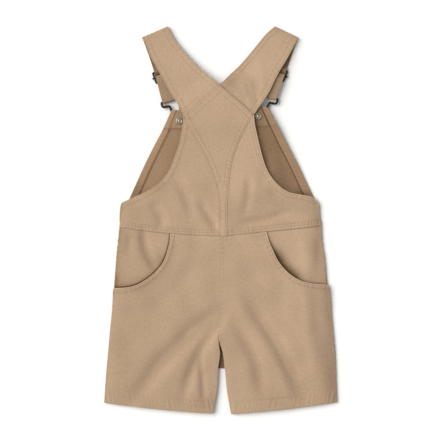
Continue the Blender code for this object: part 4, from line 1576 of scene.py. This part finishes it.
    def wear_and_painted_shading(self, x: Array, y: Array) -> Array:
        """Tone of the back run, a little lighter overall, with painted shade at the shoulder fold
        and along its edge that faces the key light, and the back's painted spots.
        """
        fold = Line(np.array([STRAP[self.side][0][:2], STRAP[self.side][0][2:]]))
        # Painted shade at the shoulder fold and along the edge that faces the key
        wear_and_painted_shading = 0.1 - 0.16 * decay(fold.measure(x, y)[0], 7.0)
        wear_and_painted_shading -= 0.16 * decay(self.lit_edge.measure(x, y)[0], 2.5)
        wear_and_painted_shading += paint_shading_spots(PAINTED_SHADING, x, y) * ((x * self.side.value > 0.0) | (y < 150.0))
        return TONE_DEPTH * sewn(self.seams, x, y)[1] + wear_and_painted_shading

    def build(self) -> None:
        """Make the strap's cloth and sew it."""
        rows, on_back = self.stations()
        columns = 84 if self.side is Side.LEFT else 56
        shape, across, along = grid(columns, len(rows) - 1)
        x, y = between(rows[along], spaced(columns, 0.2)[across])
        back_z = self.top(x, y) - STRAP_CLOTH / 2
        blend = ease((along - np.argmax(on_back) + 1) / 8.0)
        flat_z = self.lie.base(x, y) + STRAP_CLOTH / 2
        lying_z = flat_z + (back_z - flat_z) * blend
        place(shape, x, y, np.where(on_back[along], lying_z, rows[along, 4]))
        if self.side is Side.LEFT:
            bmesh.ops.reverse_faces(shape, faces=shape.faces[:])
        name = f"strap_piece_{self.side.word}"
        piece = keep(name, shape, OUTSIDE)
        # Painted shade on the front run; the back run gets its tone with painted light and shade
        tone = PLAIN_TONE + np.where(on_back[along], self.wear_and_painted_shading(x, y), FRONT_RUN_SHADE[self.side])
        lay_grain(piece.data, self.grain * -self.side.value, lambda _x, _y: tone)
        wall = piece.modifiers.new("wall", "SOLIDIFY")
        wall.thickness = STRAP_CLOTH * MM
        wall.offset = 0.0
        wall.material_offset = 1
        piece.data.materials.append(INSIDE.material())
        soften(piece, CLOTH_EDGE)
        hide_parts(f"strap_{self.side.word}")
        width, length, area = self.cut(rows)
        self.sewing.topstitch(f"strap_stitches_{self.side.word}", self.seams, self.top)
        log.info("%s: %.0f mm long as cut", name, length / MM)

    def cut(self, rows: Array) -> tuple[float, float, float]:
        """Width, length and area of the strap as cut, in metres."""
        middle = np.column_stack([(rows[:, :2] + rows[:, 2:4]) / 2, rows[:, 4]])
        middle[rows[:, 4] == 0.0, 2] = self.shoulder_z
        steps = np.linalg.norm(np.diff(middle, axis=0), axis=1)
        widths = np.linalg.norm(rows[:, 2:4] - rows[:, :2], axis=1)
        area = ((widths[1:] + widths[:-1]) / 2 * steps).sum()
        return widths.max() * MM, steps.sum() * MM, area * MM * MM


def smooth_path(points: Array, closed: bool, rounds: int = 3) -> Array:
    """Cut a path's corners until it is round."""
    for _ in range(rounds):
        ahead = np.roll(points, -1, axis=0)
        if not closed:
            points, ahead = points[:-1], ahead[:-1]
        pairs = np.stack([0.75 * points + 0.25 * ahead, 0.25 * points + 0.75 * ahead], axis=1)
        points = pairs.reshape(-1, points.shape[1])
    return points


def wire(path: Array, radius: float, closed: bool, segments: int = 14) -> bmesh.types.BMesh:
    """Bend a round wire along a level path.

    Args:
        path: the wire's centre line, in millimetres.
        radius: the wire's radius, in millimetres.
        closed: whether its ends meet.
        segments: sides of its section.

    Returns:
        The wire as a bmesh in metres.
    """
    shape = bmesh.new()
    rings = []
    count = len(path)
    for index in range(count):
        before = path[index - 1] if closed or index else path[index]
        after = path[(index + 1) % count] if closed or index < count - 1 else path[index]
        run = Vector(after - before).normalized()
        turn = run.to_track_quat("Z", "Y").to_matrix().to_4x4()
        place = Matrix.Translation(Vector(path[index]) * MM) @ turn
        ring = bmesh.ops.create_circle(
            shape, segments=segments, radius=radius * MM, matrix=place, cap_ends=False
        )["verts"]
        rings.append(ring)
    pairs = list(zip(rings[:-1], rings[1:])) + ([(rings[-1], rings[0])] if closed else [])
    for pair in pairs:
        edges = {
            edge
            for circle in pair
            for vertex in circle
            for edge in vertex.link_edges
            if edge.other_vert(vertex) in circle
        }
        bmesh.ops.bridge_loops(shape, edges=list(edges))
    if not closed:
        bmesh.ops.contextual_create(shape, geom=rings[0])
        bmesh.ops.contextual_create(shape, geom=rings[-1])
    bmesh.ops.recalc_face_normals(shape, faces=shape.faces[:])
    return shape


def turned(profile: Table, centre: Row, steps: int = 40) -> bmesh.types.BMesh:
    """Turn a profile of radius and height about an upright axis.

    Args:
        profile: rows of radius and height, in millimetres, from the axis back to it.
        centre: plan position of the axis, in millimetres.
        steps: sides of the turned shape.

    Returns:
        The shape as a bmesh in metres.
    """
    shape = bmesh.new()
    spots = [shape.verts.new((radius * MM, 0.0, z * MM)) for radius, z in profile]
    edges = [shape.edges.new(pair) for pair in zip(spots[:-1], spots[1:])]
    bmesh.ops.spin(
        shape, geom=spots + edges, cent=(0, 0, 0), axis=(0, 0, 1), angle=2 * math.pi,
        steps=steps, use_merge=True,
    )
    bmesh.ops.remove_doubles(shape, verts=shape.verts, dist=1e-6)
    bmesh.ops.recalc_face_normals(shape, faces=shape.faces[:])
    bmesh.ops.translate(shape, verts=shape.verts, vec=(centre[0] * MM, centre[1] * MM, 0.0))
    return shape


# One side of a hook from its strap bar to the foot of its keyhole: across, along
HOOK_SIDE: Table = (
    (16.9, -2.95), (18.0, -1.6), (18.0, 2.6), (16.8, 4.9), (9.4, 5.1), (7.6, 6.2),
    (7.0, 8.4), (7.0, 20.0), (5.6, 25.5), (3.8, 30.0),
)


@dataclass
class Fastening:
    """Hook, slider, tack button and the tack's back at one end of the bib."""

    strap: Strap
    lie: Lie
    hook_wire: float = 1.7
    slider_wire: float = 1.35
    half_width: float = 18.4
    bar_half: float = 21.8
    head_radius: float = 8.0
    head_height: float = 2.4
    shank_radius: float = 2.2
    tack_radius: float = 5.2
    corner: float = 2.6

    def hook(self) -> None:
        """Bend the hook."""
        strap = self.strap
        middle = (strap.end_outer + strap.end_inner) / 2
        across = strap.end_inner - strap.end_outer
        across = across / np.linalg.norm(across)
        along = np.array([-across[1], across[0]])
        if along[1] > 0:
            along = -along
        reach = np.array(BUTTON[strap.side]) - middle
        foot, drift = float(reach @ along), float(reach @ across)
        keyhole = arc(0.0, foot, HOOK_SIDE[-1][0], range(0, 181, 20))
        loop = [*HOOK_SIDE, *keyhole, *[(-wide, down) for wide, down in reversed(HOOK_SIDE)]]
        path = []
        for wide, down in loop:
            aside = wide + drift * min(1.0, max(0.0, down) / foot)
            path.append((*(middle + across * aside + along * down), strap.hook_z))
        shape = wire(smooth_path(np.array(path), True, 2), self.hook_wire, True)
        piece = keep(f"hook_wire_{strap.side.word}", shape, IRON)
        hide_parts(f"hook_{strap.side.word}")

    def slider(self) -> None:
        """Bend the slider's frame and its cross bar."""
        strap = self.strap
        share = SLIDER_ALONG[strap.side] / strap.length
        start = strap.outer + (strap.end_outer - strap.outer) * share
        end = strap.inner + (strap.end_inner - strap.inner) * share
        centre, across = (start + end) / 2, (end - start) / np.linalg.norm(end - start)
        along = np.array([across[1], -across[0]])
        cut = self.corner
        path = []
        for way_across, way_along in ((1, 1), (-1, 1), (-1, -1), (1, -1)):
            for less_across, less_along in ((0.0, cut), (0.0, 0.0), (cut, 0.0)):
                wide = way_across * (self.half_width - less_across)
                down = way_along * (strap.slider_half_length - less_along)
                path.append((*(centre + across * wide + along * down), strap.slider_z))
        order = [0, 1, 2, 5, 4, 3, 6, 7, 8, 11, 10, 9]
        ring = smooth_path(np.array(path)[order], True, 2)
        shape = wire(ring, self.slider_wire, True)
        piece = keep(f"slider_frame_{strap.side.word}", shape, IRON)
        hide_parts(f"slider_{strap.side.word}")
        reach = across * self.bar_half
        tips = [(*(centre + tip), strap.slider_z) for tip in (-reach, reach)]
        shape = wire(np.linspace(tips[0], tips[1], 6), self.slider_wire, False)
        bar = keep(f"slider_bar_{strap.side.word}", shape, IRON)
        soften(bar, 0.3)

    def button(self) -> None:
        """Turn the button under the bib and the tack's back on top of it."""
        side, spot = self.strap.side, BUTTON[self.strap.side]
        head, top = self.head_radius, self.head_height
        profile = (
            (0.0, 0.0), (head - 0.8, 0.0), (head - 0.2, 0.3), (head, 1.0), (head - 0.6, 1.9),
            (head - 2.2, top), (self.shank_radius + 0.4, top), (self.shank_radius, top + 0.4),
            (self.shank_radius, 5.2), (0.0, 5.2),
        )
        piece = keep(f"tack_button_{side.word}", turned(profile, spot), ZINC)
        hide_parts(f"button_{side.word}")
        x, y = (np.array([value]) for value in spot)
        seat = float(self.lie.bib(x, y)[0]) + LAYER + TURNED_HEM + 0.1
        rim = self.tack_radius
        profile = (
            (0.0, seat), (rim - 0.3, seat), (rim, seat + 0.3), (rim - 0.2, seat + 0.75),
            (rim - 0.9, seat + 1.05), (rim - 1.8, seat + 1.0), (rim - 2.5, seat + 0.72),
            (1.9, seat + 0.75), (1.3, seat + 1.15), (0.6, seat + 1.3), (0.0, seat + 1.32),
        )
        piece = keep(f"tack_back_{side.word}", turned(profile, spot), ZINC)
        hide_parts(f"button_back_{side.word}")

    def build(self) -> None:
        """Make all the metal of one side."""
        self.hook()
        self.slider()
        self.button()
        log.info("fastening_%s: hook, slider and button", self.strap.side.word)


@dataclass
class Studio:
    """Pale floor, soft light and a camera that looks straight down."""

    view_width: float = 0.66
    camera_height: float = 2.6
    camera_aside: float = 0.00045
    sensor: float = 36.0
    floor_size: float = 6.0
    floor_gap: float = 0.0003
    paper: Row = (0.93, 0.93, 0.93, 1.0)
    surround: Row = (1.0, 0.972, 0.935, 1.0)
    surround_strength: float = 0.45
    key_colour: Row = (1.0, 0.99, 0.975)
    key_strength: float = 3.6
    key_spread: float = 55.0
    key_from: Row = (-0.85, 0.32, 0.72)

    def floor(self) -> None:
        """Lay the floor."""
        shape = bmesh.new()
        bmesh.ops.create_grid(shape, x_segments=1, y_segments=1, size=self.floor_size)
        bmesh.ops.translate(shape, verts=shape.verts, vec=(0.0, 0.0, -self.floor_gap))
        mesh = bpy.data.meshes.new("floor")
        shape.to_mesh(mesh)
        shape.free()
        nodes = Nodes("floor_paper")
        nodes.shade(Base_Color=self.paper, Roughness=0.9, Specular_IOR_Level=0.1)
        mesh.materials.append(nodes.material)
        piece = bpy.data.objects.new("floor", mesh)
        bpy.context.scene.collection.objects.link(piece)

    def light(self) -> None:
        """Set a soft key from the left and an even surround."""
        world = bpy.data.worlds.new("studio")
        world.use_nodes = True
        sky = world.node_tree.nodes["Background"]
        sky.inputs[0].default_value = self.surround
        sky.inputs[1].default_value = self.surround_strength
        bpy.context.scene.world = world
        lamp = bpy.data.lights.new("key", "SUN")
        lamp.energy = self.key_strength
        lamp.angle = math.radians(self.key_spread)
        lamp.color = self.key_colour
        key = bpy.data.objects.new("key", lamp)
        key.rotation_mode = "QUATERNION"
        key.rotation_quaternion = Vector(self.key_from).to_track_quat("Z", "Y")
        bpy.context.scene.collection.objects.link(key)
        bpy.context.scene.view_settings.view_transform = "Standard"

    def camera(self) -> None:
        """Stand the camera straight above the garment."""
        data = bpy.data.cameras.new("camera")
        data.sensor_width = self.sensor
        data.lens = self.sensor * self.camera_height / self.view_width
        camera = bpy.data.objects.new("camera", data)
        camera.location = (-self.camera_aside, self.camera_aside, self.camera_height)
        bpy.context.scene.collection.objects.link(camera)
        bpy.context.scene.camera = camera

    def build(self) -> None:
        """Set up the whole studio."""
        self.floor()
        self.light()
        self.camera()


def main() -> None:
    """Dress every piece of the garment, in the order in which they lie."""
    logging.basicConfig(level=logging.INFO, format="%(name)s: %(message)s")
    lie, sewing = Lie(), Sewing()
    shorts = Shorts(lie, sewing)
    shorts.fronts()
    Bib(lie).build()
    shorts.facings()
    shorts.backs()
    Bodice(lie, sewing).build()
    for side in (Side.RIGHT, Side.LEFT):
        strap = Strap(side, lie, sewing)
        strap.build()
        Fastening(strap, lie).build()
    Studio().build()


if __name__ == "__main__":
    main()
